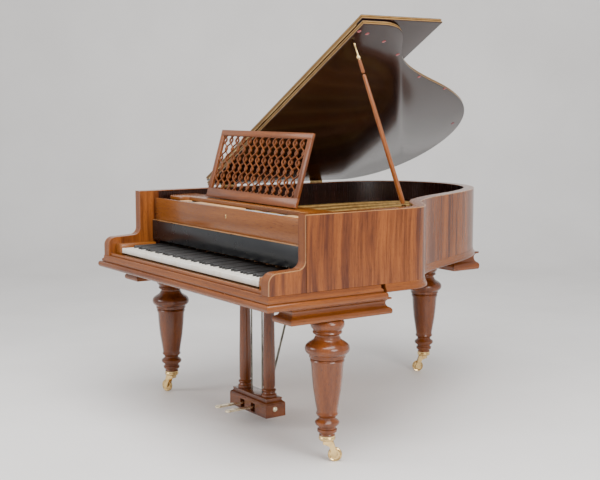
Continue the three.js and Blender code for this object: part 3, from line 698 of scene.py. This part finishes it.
class PIANO_OT_finishes(bpy.types.Operator):
    """Mix the woods, metals, felts and lacquers"""

    bl_idname = "piano.finishes"
    bl_label = "Finishes"

    def execute(self, context):
        mix_finishes(context.scene.piano_choices)
        return {"FINISHED"}


class PIANO_OT_case(bpy.types.Operator):
    """Bend the veneered rim with its arms, and lay the capping strip on it with a pale painted highlight
    along its outer top edge
    """

    bl_idname = "piano.case"
    bl_label = "Case"

    def execute(self, context):
        cap = context.scene.piano_sizes.capping * 1000
        # Edge line of one arm as (y, z): up the scroll, along the arm, up the hollow and the cheek.
        turn = np.linspace(np.pi, np.pi / 2, 9)
        scroll = np.stack([60 + 38 * np.cos(turn), 734 + 38 * np.sin(turn)], 1)
        turn = np.linspace(-np.pi / 2, 0, 9)
        hollow = np.stack([152 + 34 * np.cos(turn), 810 + 34 * np.sin(turn)], 1)
        rise = np.stack([np.full(8, 186.0), np.linspace(860, RIM_TOP, 8)], 1)
        edge = np.concatenate([[[22, RIM_BOTTOM + 0.5], [22, 712]], scroll, hollow, rise])
        line, normal, distance = case_route(22.0)
        board = np.array([228.0, 262.0])  # extra steps where the cheeks pass the fallboard
        rest = np.sort(np.concatenate([distance[line[:, 1] > 187], board, distance[-1] - board]))
        walk = np.concatenate([edge[:, 0] - 22, rest, distance[-1] - (edge[::-1, 0] - 22)])
        height = np.concatenate([edge[:, 1], np.full(len(rest), RIM_TOP), edge[::-1, 1]])
        ahead = np.stack([np.gradient(walk), np.gradient(height)], 1)
        ahead /= np.linalg.norm(ahead, axis=1)[:, None]
        under_walk = np.clip(walk + cap * ahead[:, 1], 0, distance[-1])
        under_height = np.maximum(height - cap * ahead[:, 0], RIM_BOTTOM)

        def place(s):
            """The point of the plan line after walking s along it."""
            return np.stack([np.interp(s, distance, line[:, k]) for k in (0, 1)], 1)

        def facing(s):
            """The outward normal of the plan line after walking s along it."""
            return np.stack([np.interp(s, distance, normal[:, k]) for k in (0, 1)], 1)


        def wall(s, low, high, reaches, heights):
            """Section of the wall at each step: points at the given reaches, each low or high."""
            plan = place(s)[:, None, :] + np.asarray(reaches)[None, :, None] * facing(s)[:, None, :]
            level = np.where(np.asarray(heights)[None, :] > 0, high[:, None], low[:, None])
            points = np.concatenate([plan, level[..., None]], -1).reshape(-1, 3)
            count = len(reaches)
            quads = grid_quads(len(s), count, close_columns=True)
            ends = [np.arange(count), np.arange(count) + (len(s) - 1) * count]
            along = np.broadcast_to(s[:, None], level.shape)
            depth = np.broadcast_to(np.asarray(reaches)[None, :], level.shape)
            return points, quads, ends, along, depth, level

        base = np.full(len(walk), RIM_BOTTOM)
        points, quads, ends, along, depth, level = wall(under_walk, base, under_height, [-50, 0, 0, -50],
                                                        [0, 0, 1, 1])
        grain = np.stack([along, depth * 0.02, level], -1).reshape(-1, 3) / 1000
        behind_board = (under_walk > 245) & (under_walk < distance[-1] - 263)
        side = np.zeros((len(walk) - 1, 4), int)
        side[:, 3] = behind_board[:-1]
        body = Shell(points, quads, ends, grain, np.concatenate([side.ravel(), [0, 0]]))
        build("case_rim", [body], [material_named("veneered_walnut"), material_named("inner_rosewood")],
              "case",
              weld=False, stands_for=("rim",))

        reach = [-50, -49, -3.2, -3, -0.8, 0]

        def plan(s):
            """The capping's plan points: the plan line moved outwards by each reach."""
            return place(s)[:, None, :] + np.asarray(reach)[None, :, None] * facing(s)[:, None, :]

        top = np.concatenate([plan(walk), np.broadcast_to(height[:, None, None], (len(walk), 6, 1))], -1)
        low = np.concatenate([plan(under_walk),
                              np.broadcast_to(under_height[:, None, None], (len(walk), 6, 1))], -1)
        ring = np.concatenate([top, low[:, ::-1]], 1)
        across = np.broadcast_to(np.asarray(reach + reach[::-1])[None, :], ring.shape[:2])
        grain = np.stack([across, ring[..., 2] * 0,
                          np.broadcast_to(walk[:, None] + height[:, None], ring.shape[:2])], -1)
        quads = grid_quads(len(walk), 12, close_columns=True)
        # The outer 3 mm of the capping's top and its outer face take the pale finish: a painted highlight
        # along the rim's top arris
        finish = np.tile([0, 0, 0, 1, 1, 1, 0, 0, 0, 0, 0, 0], len(walk) - 1)
        ends = [np.arange(12), np.arange(12) + (len(walk) - 1) * 12]
        build("case_capping", [Shell(ring.reshape(-1, 3), quads, ends, grain.reshape(-1, 3) / 1000,
                                     np.concatenate([finish, [0, 0]]))],
              [material_named("moulded_walnut"), material_named("pale_edge_strip")], "case",
              weld=False)
        return {"FINISHED"}


class PIANO_OT_mouldings(bpy.types.Operator):
    """Run the bullnosed plinth, key bed, base moulding, key slip, key blocks and trestles"""

    bl_idname = "piano.mouldings"
    bl_label = "Mouldings"

    def execute(self, context):
        walnut = material_named("moulded_walnut")
        build("plinth_board", [carried(rectangle(-733, 733, 0, 562), BULLNOSE, True)], walnut, "case",
              stands_for=("plinth",))
        bed = [(-4, 659.3), (-0.8, 660), (0, 663), (0, 668), (-2.5, 671), (-5.5, 673), (-7, 676), (-7, 684),
               (-8, 687), (-10, 688)]
        build("key_bed", [carried(rectangle(-718, 718, 13, 548), bed, True)], walnut, "case",
              stands_for=("keybed",))
        edge = [(-3, 655), (-0.8, 656), (0, 659), (-0.8, 665), (-3, 669), (-6, 672), (-7.5, 676), (-8, 682),
                (-9, 686), (-9.7, 688)]
        section = np.array(edge + [(-60, 688), (-60, 655)], float)
        line, normal, distance = case_route(563.0)
        plan = line[:, None, :] + (section[None, :, :1] + 10.0) * normal[:, None, :]
        reach, height = (np.broadcast_to(section[:, k], plan.shape[:2]) for k in (0, 1))
        walked = np.broadcast_to(distance[:, None], reach.shape)
        points = np.concatenate([plan, height[..., None]], -1).reshape(-1, 3)
        grain = np.stack([reach, height, walked], -1).reshape(-1, 3) / 1000
        ends = [np.arange(len(section)), np.arange(len(section)) + (len(line) - 1) * len(section)]
        band = Shell(points, grid_quads(len(line), len(section), close_columns=True), ends, grain)
        build("base_edge", [band], walnut, "case", stands_for=("base_moulding",))
        slip = [(-1, 688.4), (0, 690), (0, 695), (-1.5, 698), (-5, 700)]
        build("slip_rail", [carried(rectangle(-658, 658, 30, 52), slip, True)], walnut, "case",
              stands_for=("key_slip",))
        for side, x0, x1, node in (("bass", -658, -597, "bass_key_block"),
                                   ("treble", 588, 658, "treble_key_block")):
            blocks = [between((x0, 56, 688.6), (x1, 236, 744), 4.0)]
            build(f"{side}_end_block", blocks, material_named("panel_walnut"), "case",
                  along="y",
                  stands_for=(node,))
        for side, x0, x1 in (("bass", -706, -576), ("treble", 576, 706)):
            build(f"{side}_trestle_block", [carried(rectangle(x0, x1, 122, 604), TRESTLE_EDGE, True)], walnut,
                  "case",
                  stands_for=(f"{side}_trestle",))
        rear = [(reach, 565.2 + (z - 565.2) * 89.4 / 65.4) for reach, z in TRESTLE_EDGE]
        build("rear_trestle_block", [carried(rectangle(-580, 10, 1555, 1725), rear, True)],
              material_named("turned_walnut"),
              "case", stands_for=("rear_trestle",))
        return {"FINISHED"}


class PIANO_OT_legs(bpy.types.Operator):
    """Turn the three legs and their castor cups and wheels"""

    bl_idname = "piano.legs"
    bl_label = "Legs and castors"

    def execute(self, context):
        sides = context.scene.piano_sizes.turning_sides
        brass = material_named("polished_brass")
        tread = [(4.2, -8), (9, -8), (10, -6), (20, -5.4), (22, -7.4), (25, -8), (27.4, -6.4), (28, -4),
                 (28, 4),
                 (27.4, 6.4), (25, 8), (22, 7.4), (20, 5.4), (10, 6), (9, 8), (4.2, 8)]
        for side, centre in LEG_STANDS.items():
            build(f"{side}_turned_leg", [turned(LEG, centre, sides)], material_named("turned_walnut"), "case",
                  stands_for=(f"{side}_leg",))
            cup = [(22, 84), (28, 85), (31, 87.5), (32.6, 92), (33, 96), (32, 98.5), (31, 100), (32, 103),
                   (31.5, 105.6)]
            build(f"{side}_cup", [turned(cup, centre, 48)], brass, "case",
                  stands_for=(f"{side}_castor_cup",))
            low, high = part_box(f"{side}_castor_wheel")
            middle = np.array([(low.x + high.x) / 2, (low.y + high.y) / 2,
                               (low.z + high.z) / 2]) * 1000 - [0, FRONT, 0]
            trail = middle[:2] - centre
            trail /= np.linalg.norm(trail)
            wheel = turned(tread, (0, 0), 40)
            ring = len(tread)
            wheel = wheel._replace(quads=grid_quads(40, ring, close_rows=True, close_columns=True), caps=[])
            basis = np.array([[trail[0], 0, trail[1]], [trail[1], 0, -trail[0]], [0, 1, 0]])
            build(f"{side}_wheel", [moved(wheel, basis, middle)], brass, f"{side}_roller",
                  stands_for=(f"{side}_castor_wheel",))
            dress(brass, f"{side}_castor_fork")
        return {"FINISHED"}


class PIANO_OT_lid(bpy.types.Operator):
    """Make the moulded lid leaf, its folded front flap, the hinges and the rubber buttons"""

    bl_idname = "piano.lid"
    bl_label = "Lid"

    def execute(self, context):
        mahogany, gilded, brass = (material_named(n)
                                   for n in ("lid_mahogany", "gilded_edge", "polished_brass"))
        outline = case_outline(LID_OVERHANG, FOLD_Y + 1)
        outline[:, 0] = np.maximum(outline[:, 0] - LID_AXIS[0], 6.5)
        keep = np.concatenate([[True], np.linalg.norm(np.diff(outline, axis=0), axis=1) > 0.5])
        outline = outline[keep]
        leaf = with_grain(carried(outline, LID_EDGE), "y")
        rows, columns = len(outline), len(LID_EDGE)
        finish = np.zeros((rows, columns - 1), int)
        finish[:, 2:7] = 1
        build("lid_leaf", [lid_turned(leaf._replace(finish=np.concatenate([finish.ravel(), [0, 0]])))],
              [mahogany, gilded],
              "lid", stands_for=("lid_main",))
        right = HALF_WIDTH + LID_OVERHANG - LID_AXIS[0]
        flap = carried(rectangle(6.5, right, FOLD_Y + 3, 2 * FOLD_Y - FLAP_FRONT),
                       [(r, z + 27) for r, z in LID_EDGE])
        finish = np.zeros((4, columns - 1), int)
        finish[:, 2:7] = 1
        flap = with_grain(flap, "x")._replace(finish=np.concatenate([finish.ravel(), [0, 0]]))
        build("front_flap", [lid_turned(flap)], [mahogany, gilded], "flap",
              stands_for=("lid_flap",))
        knuckle = rod([[40, FOLD_Y, FLAP_AXIS_UP], [right - 40, FOLD_Y, FLAP_AXIS_UP]], 2.4, 10)
        build("flap_knuckle", [lid_turned(knuckle)], brass, "lid", stands_for=("flap_hinge",))
        button = turned([(3, -10.9), (8.6, -11), (8.9, -11.4), (8.2, -11.8), (1, -11.8)], (0, 0), 20)
        spots = np.array([[1380, 640, 0], [1330, 760, 0], [1236, 900, 0], [1060, 1150, 0], [960, 1380, 0],
                          [620, 1700, 0],
                          [1395, 590, 0]], float)
        build("lid_buttons", [lid_turned(copies(button, spots))], material_named("red_felt"), "lid")
        dress(brass, "front_lid_hinge", "rear_lid_hinge", "prop_bracket")
        return {"FINISHED"}


class PIANO_OT_prop(bpy.types.Operator):
    """Turn the prop stick, its jointed head and the brass pin and ball"""

    bl_idname = "piano.prop"
    bl_label = "Lid prop"

    def execute(self, context):
        reach = PROP_TOP - PROP_FOOT
        length = np.linalg.norm(reach)
        up = reach / length
        side = np.cross([0, 1, 0], up)
        side /= np.linalg.norm(side)
        basis = np.stack([side, np.cross(up, side), up], 1)
        ball = length - 70
        stick = [(6, 12), (9, 15), (10.5, 26), (10.8, 60), (10, 200), (9.2, 380), (7.6, 572), (6.6, 577),
                 (4, 579.6)]
        head = [(4, 585), (6.6, 588), (7.5, 592), (7.2, 620), (7, ball - 9)]
        turn = np.linspace(-1.0, 1.0, 9)
        knob = [(9 * math.cos(a), ball + 9 * math.sin(a)) for a in turn]
        pin = [(5, ball - 8.8), *knob, (3.6, ball + 10), (3.2, length - 24), (4.6, length - 20),
               (4.6, length - 15), (3, length - 10)]
        for name, profile, finish, body, slot, node in (
            ("stick", stick, "prop_walnut", "prop_lower", "prop_wood", "prop_stick"),
            ("stick_head", head, "prop_walnut", "prop_upper", "prop_wood", "prop_head"),
            ("stick_pin", pin, "polished_brass", "prop_upper", "brass", "prop_pin"),
        ):
            shell = with_grain(turned(profile, (0, 0), 24), "z")
            build(name, [moved(shell, basis, PROP_FOOT)], material_named(finish), body,
                  stands_for=(node,))
        return {"FINISHED"}


class PIANO_OT_keyboard(bpy.types.Operator):
    """Cut the fifty naturals and thirty-five sharps with eased edges, and join each bank with a rail behind
    them
    """

    bl_idname = "piano.keyboard"
    bl_label = "Keyboard"

    def execute(self, context):

        def has_sharp(i):
            """Whether a sharp stands between natural i and the next one."""
            return 0 <= i < KEY_COUNT - 1 and "ABCDEFG"[i % 7] in "ACDFG"

        def edge_of(i):
            """The bass edge of natural i."""
            return FIRST_KEY + i * KEY_PITCH


        def natural(i):
            """Outline of one natural: wide head, and a tail narrowed where a sharp stands beside it."""
            left, right = edge_of(i) + 0.5, edge_of(i + 1) - 0.5
            tail_left = edge_of(i) + 6.5 if has_sharp(i - 1) else left
            tail_right = edge_of(i + 1) - 6.5 if has_sharp(i) else right
            outline = [[left, 58], [right, 58], [right, 106]]
            outline += [[tail_right, 106]] if tail_right != right else []
            outline += [[tail_right, 300], [tail_left, 300]]
            outline += [[tail_left, 106]] if tail_left != left else []
            outline += [[left, 106]]
            top = [(-0.4, 706), (0, 706.6), (0, 725.8), (-0.35, 726.9), (-1.2, 727.5)]
            return carried(outline, top)

        def sharp(i):
            """One sharp: a block whose sides and front lean in towards a rounded top."""
            x = edge_of(i + 1)
            return carried(rectangle(x - 5.5, x + 5.5, 108, 300, 1.2, 2),
                           [(0, 712), (0, 728.5), (-1.0, 735.5), (-1.6, 738), (-2.6, 739)])

        ivory, ebony = material_named("key_ivory"), material_named("key_ebony")

        def rail(first, last, z0, z1):
            """The bar that joins a bank of keys behind the action, from one natural to another."""
            return between((edge_of(first) + 0.6, 301, z0), (edge_of(last + 1) - 0.6, 330, z1), 0.6)

        banks = (("bass", 0, MOVING_KEYS[0] - 1), ("treble", MOVING_KEYS[-1] + 1, KEY_COUNT - 1))
        for side, first, last in banks:
            naturals = [natural(i) for i in range(first, last + 1)]
            build(f"{side}_ivories", naturals + [rail(first, last, 706, 727.5)], ivory, "keyboard",
                  stands_for=(f"{side}_naturals",))
            sharps = [sharp(i) for i in range(first, last) if has_sharp(i)]
            build(f"{side}_ebonies", sharps, ebony, "keyboard", stands_for=(f"{side}_sharps",))
        for i in MOVING_KEYS:
            letter = "ABCDEFG"[i % 7].lower()
            build(f"{letter}_key", [natural(i)], ivory, f"key_{letter}_lever",
                  stands_for=(f"key_{letter}",))
            if i < MOVING_KEYS[-1]:
                build(f"{letter}_sharp_key", [sharp(i)], ebony, f"key_{letter}_sharp_lever",
                      stands_for=(f"key_{letter}_sharp",))
        dress(material_named("frame_beech"), "key_frame")
        return {"FINISHED"}


class PIANO_OT_fallboard(bpy.types.Operator):
    """Make the lacquered name board, the walnut front panel above it, its ledge and its lock"""

    bl_idname = "piano.fallboard"
    bl_label = "Fallboard"

    def execute(self, context):
        board = between((-656, 247, 752), (656, 275, 842.6), 3.0)
        build("name_board", [board], material_named("ebonised_lacquer"), "fallboard", along="x",
              stands_for=("name_panel",))
        build("board_ledge", [between((-656, 247, 842.8), (656, 275, 845.2), 0.8)],
              material_named("pale_edge_strip"),
              "fallboard", along="x")
        build("front_panel", [between((-656, 262, 845.4), (656, 281, 947), 2.0)],
              material_named("panel_walnut"), "fallboard",
              along="x", stands_for=("fall_panel",))
        turn = np.linspace(0, 2 * np.pi, 24, endpoint=False)
        oval = np.stack([5.5 * np.cos(turn), 8 * np.sin(turn)], 1)
        stand = [[1, 0, 0], [0, 0, -1], [0, 1, 0]]
        scutcheon = moved(carried(oval, [(0, -0.4), (0, 0.7), (-0.8, 1.2)]), stand, (0, 261.6, 911))
        slot = moved(carried(oval * [0.25, 0.5], [(0, 0), (0, 1.5)]), stand, (0, 261.8, 911))
        build("lock_scutcheon", [scutcheon], material_named("polished_brass"), "fallboard")
        build("lock_slot", [slot], material_named("ebonised_lacquer"), "fallboard")
        return {"FINISHED"}


class PIANO_OT_shelf(bpy.types.Operator):
    """Make the music shelf with its rounded wing and nosing, and the action rail seen in front of it"""

    bl_idname = "piano.shelf"
    bl_label = "Music shelf"

    def execute(self, context):
        turn = np.linspace(np.pi, 1.5 * np.pi, 10)
        wing = np.stack([-580 + 60 * np.cos(turn), 370 + 60 * np.sin(turn)], 1)
        inner = curve([(-520, 310), (-480, 310), (-470, 345)], 8)
        bass_end = np.concatenate([[[-657, 480], [-657, 420], [-641, 402]], wing, inner])
        lower = [(-3, 942), (-0.8, 943), (0, 945.5), (0, 948.8)]
        upper = [(0, 948.8), (0, 952), (-0.4, 955), (-1.2, 957.6), (-3, 958.6)]
        # The upper half is in two lengths, with the groove for the folded prop between them.
        whole = np.concatenate([[[657, 345], [657, 480]], bass_end])
        beside = np.concatenate([[[527, 345], [508, 480]], bass_end])
        treble_end = [[555, 345], [657, 345], [657, 480], [536, 480]]
        layers = ((whole, lower), (beside, upper), (treble_end, upper))
        shelf = [with_grain(carried(outline, edge), "x") for outline, edge in layers]
        build("shelf_board", shelf, material_named("panel_walnut"), "case", weld=False,
              stands_for=("music_shelf",))
        build("shelf_nosing", [between((-470, 345.5, 958.4), (500, 352, 960), 0.6)],
              material_named("pale_edge_strip"), "case",
              along="x")
        beech, felt = material_named("raw_beech"), material_named("grey_felt")
        spans = ((-470, -430), (-350, 40), (390, 560))
        build("action_rail", [between((a, 290, 905), (b, 338, 945), 1.5) for a, b in spans], beech, "case",
              along="x")
        build("action_felt", [between((50, 292, 900), (380, 336, 941), 3.0),
                              between((-425, 292, 900), (-360, 336, 940), 3.0)],
              felt, "case", along="x")
        return {"FINISHED"}


class PIANO_OT_music_desk(bpy.types.Operator):
    """Frame the music desk and fill it with three tiers of interlaced ogee ribs"""

    bl_idname = "piano.music_desk"
    bl_label = "Music desk"

    def execute(self, context):
        rib = context.scene.piano_sizes.fret_rib * 1000 / 2
        c, s = math.cos(DESK_TURN), math.sin(DESK_TURN)

        def stand(shell):
            """The shell raised from lying flat to the desk's own slope about its lower edge."""
            return moved(shell, [[1, 0, 0], [0, c, -s], [0, s, c]], DESK_PIVOT)

        walnut = material_named("desk_walnut")
        rails = [between((-365, 0, 0), (365, 42, 14), 1.5), between((-365, 290, 0), (365, 316, 14), 1.5)]
        stiles = [between((-365, 42, 0), (-337, 290, 14), 1.5), between((337, 42, 0), (365, 290, 14), 1.5)]
        shells = [stand(with_grain(x, "x")) for x in rails] + [stand(with_grain(x, "y")) for x in stiles]
        build("desk_frame", shells, walnut, "desk", stands_for=("music_desk",))
        low, high, pitch, tiers = 41.0, 291.0, 674 / 26, 3
        tier = (high - low) / tiers
        rise = np.linspace(low, high, 60)
        ribs = []
        for k in range(27):
            wave = (1 if k % 2 else -1) * 0.84 * pitch * np.sin(2 * np.pi * (rise - low) / tier)
            across = np.clip(-337 + k * pitch + wave, -338, 338)
            depth = 7.0 + (1.6 if k % 2 else -1.6)
            left, right = across - rib, across + rib
            ring = [np.stack([x, rise, np.full(60, z)], 1) for x, z in
                    ((left, depth - 3.4), (right, depth - 3.4), (right, depth + 3.4), (left, depth + 3.4))]
            points = np.stack(ring, 1).reshape(-1, 3)
            quads = grid_quads(60, 4, close_columns=True)
            ribs.append(stand(with_grain(Shell(points, quads, [np.arange(4), np.arange(4) + 59 * 4]), "y")))
        build("desk_fret", ribs, walnut, "desk", smooth=50)
        return {"FINISHED"}


class PIANO_OT_interior(bpy.types.Operator):
    """String the plate: bars, tuning pins, strings, dampers, and the boards under them"""

    bl_idname = "piano.interior"
    bl_label = "Plate and strings"

    def execute(self, context):
        plate = material_named("bronzed_plate")
        dress(plate, "iron_frame")
        dress(material_named("soundboard_spruce"), "soundboard")
        dress(material_named("frame_beech"), "pin_block", "treble_bridge", "bass_brace", "treble_brace")
        inner = case_outline(-120.0, 545.0)

        def reach_back(x_front, slope):
            """Where a line from the front rail, leaning by slope, meets the plate's rear flange."""
            y = np.linspace(520, TAIL, 900)
            x = x_front + (y - 500) * slope
            right = np.interp(y, inner[:78, 1], inner[:78, 0])
            stop = np.argmax((x > right - 4) | (y > 1640))
            return y[stop - 1] if stop else 1600.0

        def lean(x):
            """The slope of the string that starts at x, so that the strings fan towards the tail."""
            return (0.5 * x - 233 - x) / 1272

        bars = []
        for k in range(1, 7):
            x = 164 * k - 574
            end = reach_back(x, lean(x)) + 40
            t = np.linspace(0, 1, 14)
            y = 470 + (end - 470) * t
            path = np.stack([x + (y - 500) * lean(x), y, 868 + 16 * np.sin(np.pi * t) ** 0.4], 1)
            bars.append(rod(path, 7 + 3 * np.sin(np.pi * t), 12))
        build("plate_bars", bars, plate, "case")
        count = context.scene.piano_sizes.string_groups
        fronts = np.linspace(-575, 545, count)
        fronts = fronts[np.min(np.abs(fronts[:, None] - (164 * np.arange(1, 7) - 574)), axis=1) > 15]
        wires, wound = [], []
        for x in fronts:
            end = reach_back(x, lean(x))
            path = [[x, 360, 880], [x, 505, 872.5], [x + (end - 500) * lean(x), end, 872],
                    [x + (end + 30 - 500) * lean(x), end + 30, 866]]
            (wound if x < -330 else wires).append(rod(path, 1.5 if x < -330 else 0.7, 5))
        build("steel_strings", wires, material_named("blued_steel"), "case")
        build("wound_strings", wound, material_named("copper_winding"), "case")
        pin = turned([(3.2, 862), (3.2, 884), (2.9, 888), (2.0, 889)], (0, 0), 8)
        rows = np.stack([fronts, 360 - 14.0 * (np.arange(len(fronts)) % 3), np.zeros(len(fronts))], 1)
        build("tuning_pins", [copies(pin, rows)], material_named("blued_steel"), "case")
        heads = between((-4, 489, 884), (4, 505, 908), 0.8)
        pads = between((-3.4, 489.5, 876), (3.4, 504.5, 884), 0.6)
        places = np.stack([np.arange(-555, 466, 12.0), np.zeros(86), np.zeros(86)], 1)
        build("damper_heads", [copies(heads, places)], material_named("key_ebony"), "dampers",
              stands_for=("damper_rail",))
        build("damper_pads", [copies(pads, places)], material_named("white_felt"), "dampers")
        build("stringing_felt", [between((-600, 392, 864.4), (575, 410, 869), 1.5)],
              material_named("red_felt"), "case",
              along="x")
        return {"FINISHED"}


class PIANO_OT_lyre(bpy.types.Operator):
    """Make the pedal lyre: columns, slotted box with its moulded cap, pedals, rods and brace"""

    bl_idname = "piano.lyre"
    bl_label = "Pedal lyre"

    def execute(self, context):
        walnut = material_named("turned_walnut")
        for side, x in (("bass", -98), ("treble", 98)):
            build(f"{side}_column", [turned(COLUMN, (x, LYRE_Y), 48)], walnut, "case",
                  stands_for=(f"{side}_lyre_column",))
        plan = rectangle(-150, 150, LYRE_Y - 50, LYRE_Y + 50)
        cap = [(0, 92), (0, 103), (-2, 105), (-2, 108), (-5, 110), (-9, 112.5), (-12, 117), (-12, 121),
               (-10, 122.5),
               (-10.4, 127), (-12, 128)]
        shells = [carried(plan, [(-2, 46), (0, 48), (0, 54)]), carried(plan, cap)]
        for x0, x1 in ((-150, -60), (-26, 26), (60, 150)):
            shells.append(carried(rectangle(x0, x1, LYRE_Y - 50, LYRE_Y + 50), [(0, 54), (0, 92)]))
        for x0, x1 in ((-60, -26), (26, 60)):
            shells.append(carried(rectangle(x0, x1, LYRE_Y + 36, LYRE_Y + 50), [(0, 54), (0, 92)]))
        build("lyre_case", shells, walnut, "case", along="x", weld=False,
              stands_for=("lyre_box",))
        boss = turned([(11, 0), (11, 1.2), (9.5, 2.2), (7, 1.6), (3, 3.2), (0.6, 3.6)], (0, 0), 28)
        face = moved(boss, [[0, 0, 1], [1, 0, 0], [0, 1, 0]], (149.8, LYRE_Y - 4, 82))
        build("lyre_boss", [face], material_named("pale_brass"), "case")
        dress(material_named("pale_brass"), "left_pedal", "right_pedal")
        dress(material_named("dark_iron"), "left_pedal_rod", "right_pedal_rod", "lyre_brace")
        return {"FINISHED"}


class PIANO_OT_stage(bpy.types.Operator):
    """Lay the pale floor that sweeps up behind, hang the soft lights and set the camera"""

    bl_idname = "piano.stage"
    bl_label = "Studio"

    def execute(self, context):
        scene = context.scene
        across = np.linspace(-9, 9, 3)
        turn = np.linspace(0, np.pi / 2, 12)
        away = np.concatenate([[-9.0], 4.2 + 1.6 * np.sin(turn), [5.8]])
        height = np.concatenate([[0.0], 1.6 - 1.6 * np.cos(turn), [8.0]])
        angle = math.radians(55.68)
        right, forward = np.array([math.cos(angle), math.sin(angle)]), np.array([-math.sin(angle),
                                                                                 math.cos(angle)])
        ground = across[:, None, None] * right + away[None, :, None] * forward
        level = np.broadcast_to(height[None, :, None], ground.shape[:2] + (1,))
        points = np.concatenate([ground, level], -1).reshape(-1, 3)
        mesh = bpy.data.meshes.new("floor_sweep")
        mesh.from_pydata(points.tolist(), [], grid_quads(3, len(away)).tolist())
        mesh.materials.append(material_named("pale_floor"))
        mesh.shade_smooth()
        floor = bpy.data.objects.new("floor_sweep", mesh)
        scene.collection.objects.link(floor)

        world = bpy.data.worlds.new("studio_air")
        world.use_nodes = True
        world.node_tree.nodes["Background"].inputs["Color"].default_value = (0.95, 0.97, 1.0, 1.0)
        world.node_tree.nodes["Background"].inputs["Strength"].default_value = 0.8
        scene.world = world
        for name, spot, aim, size, power in (
            ("overhead_softbox", (1.2, -1.0, 3.9), (0.0, 0.0, 0.6), 3.6, 230.0),
            ("keyboard_softbox", (-1.6, -4.2, 2.4), (0.0, -0.4, 0.7), 2.2, 70.0),
            ("treble_softbox", (4.6, -0.4, 2.2), (0.3, 0.0, 0.8), 2.4, 150.0),
        ):
            light = bpy.data.lights.new(name, "AREA")
            light.shape = "DISK"
            light.size = size
            light.energy = power
            lamp = bpy.data.objects.new(name, light)
            scene.collection.objects.link(lamp)
            place, towards = Matrix.Translation(spot), np.subtract(aim, spot)
            lamp.matrix_world = place @ _looking(towards)

        lens = bpy.data.cameras.new("studio_camera")
        lens.lens = 67.12
        lens.sensor_width = 36.0
        camera = bpy.data.objects.new("studio_camera", lens)
        scene.collection.objects.link(camera)
        camera.location = (4.0837, -3.0355, 1.3825)
        camera.rotation_euler = (math.radians(90 - 6.8974), 0.0, math.radians(55.6844))
        scene.camera = camera
        return {"FINISHED"}


def _looking(towards):
    """A turn that points a lamp's own -Z along a direction."""
    back = -np.asarray(towards, float) / np.linalg.norm(towards)
    right = np.cross([0, 0, 1.0], back)
    right /= np.linalg.norm(right)
    up = np.cross(back, right)
    return Matrix(np.stack([right, up, back], 1).tolist()).to_4x4()


class PIANO_PT_panel(bpy.types.Panel):
    bl_idname = "PIANO_PT_panel"
    bl_label = "Drawing-room piano"
    bl_space_type = "VIEW_3D"
    bl_region_type = "UI"
    bl_category = "Piano"

    def draw(self, context):
        choices, sizes = context.scene.piano_choices, context.scene.piano_sizes
        for name in ("walnut_light", "walnut_dark", "lid_colour", "polish"):
            self.layout.prop(choices, name)
        for name in ("turning_sides", "capping", "fret_rib", "string_groups"):
            self.layout.prop(sizes, name)
        for operator in OPERATORS:
            self.layout.operator(operator.bl_idname)


OPERATORS = (PIANO_OT_finishes, PIANO_OT_case, PIANO_OT_mouldings, PIANO_OT_legs, PIANO_OT_lid, PIANO_OT_prop,
             PIANO_OT_keyboard, PIANO_OT_fallboard, PIANO_OT_shelf, PIANO_OT_music_desk, PIANO_OT_interior,
             PIANO_OT_lyre, PIANO_OT_stage)
CLASSES = (PianoChoices, PianoSizes, *OPERATORS, PIANO_PT_panel)


def register():
    for cls in CLASSES:
        bpy.utils.register_class(cls)
    bpy.types.Scene.piano_choices = PointerProperty(type=PianoChoices)
    bpy.types.Scene.piano_sizes = PointerProperty(type=PianoSizes)


def unregister():
    del bpy.types.Scene.piano_sizes
    del bpy.types.Scene.piano_choices
    for cls in reversed(CLASSES):
        bpy.utils.unregister_class(cls)


def main():
    """Registers the add-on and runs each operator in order."""
    register()
    for operator in (bpy.ops.piano.finishes, bpy.ops.piano.case, bpy.ops.piano.mouldings, bpy.ops.piano.legs,
                     bpy.ops.piano.lid, bpy.ops.piano.prop, bpy.ops.piano.keyboard, bpy.ops.piano.fallboard,
                     bpy.ops.piano.shelf, bpy.ops.piano.music_desk, bpy.ops.piano.interior,
                     bpy.ops.piano.lyre,
                     bpy.ops.piano.stage):
        operator()


if __name__ == "__main__":
    main()
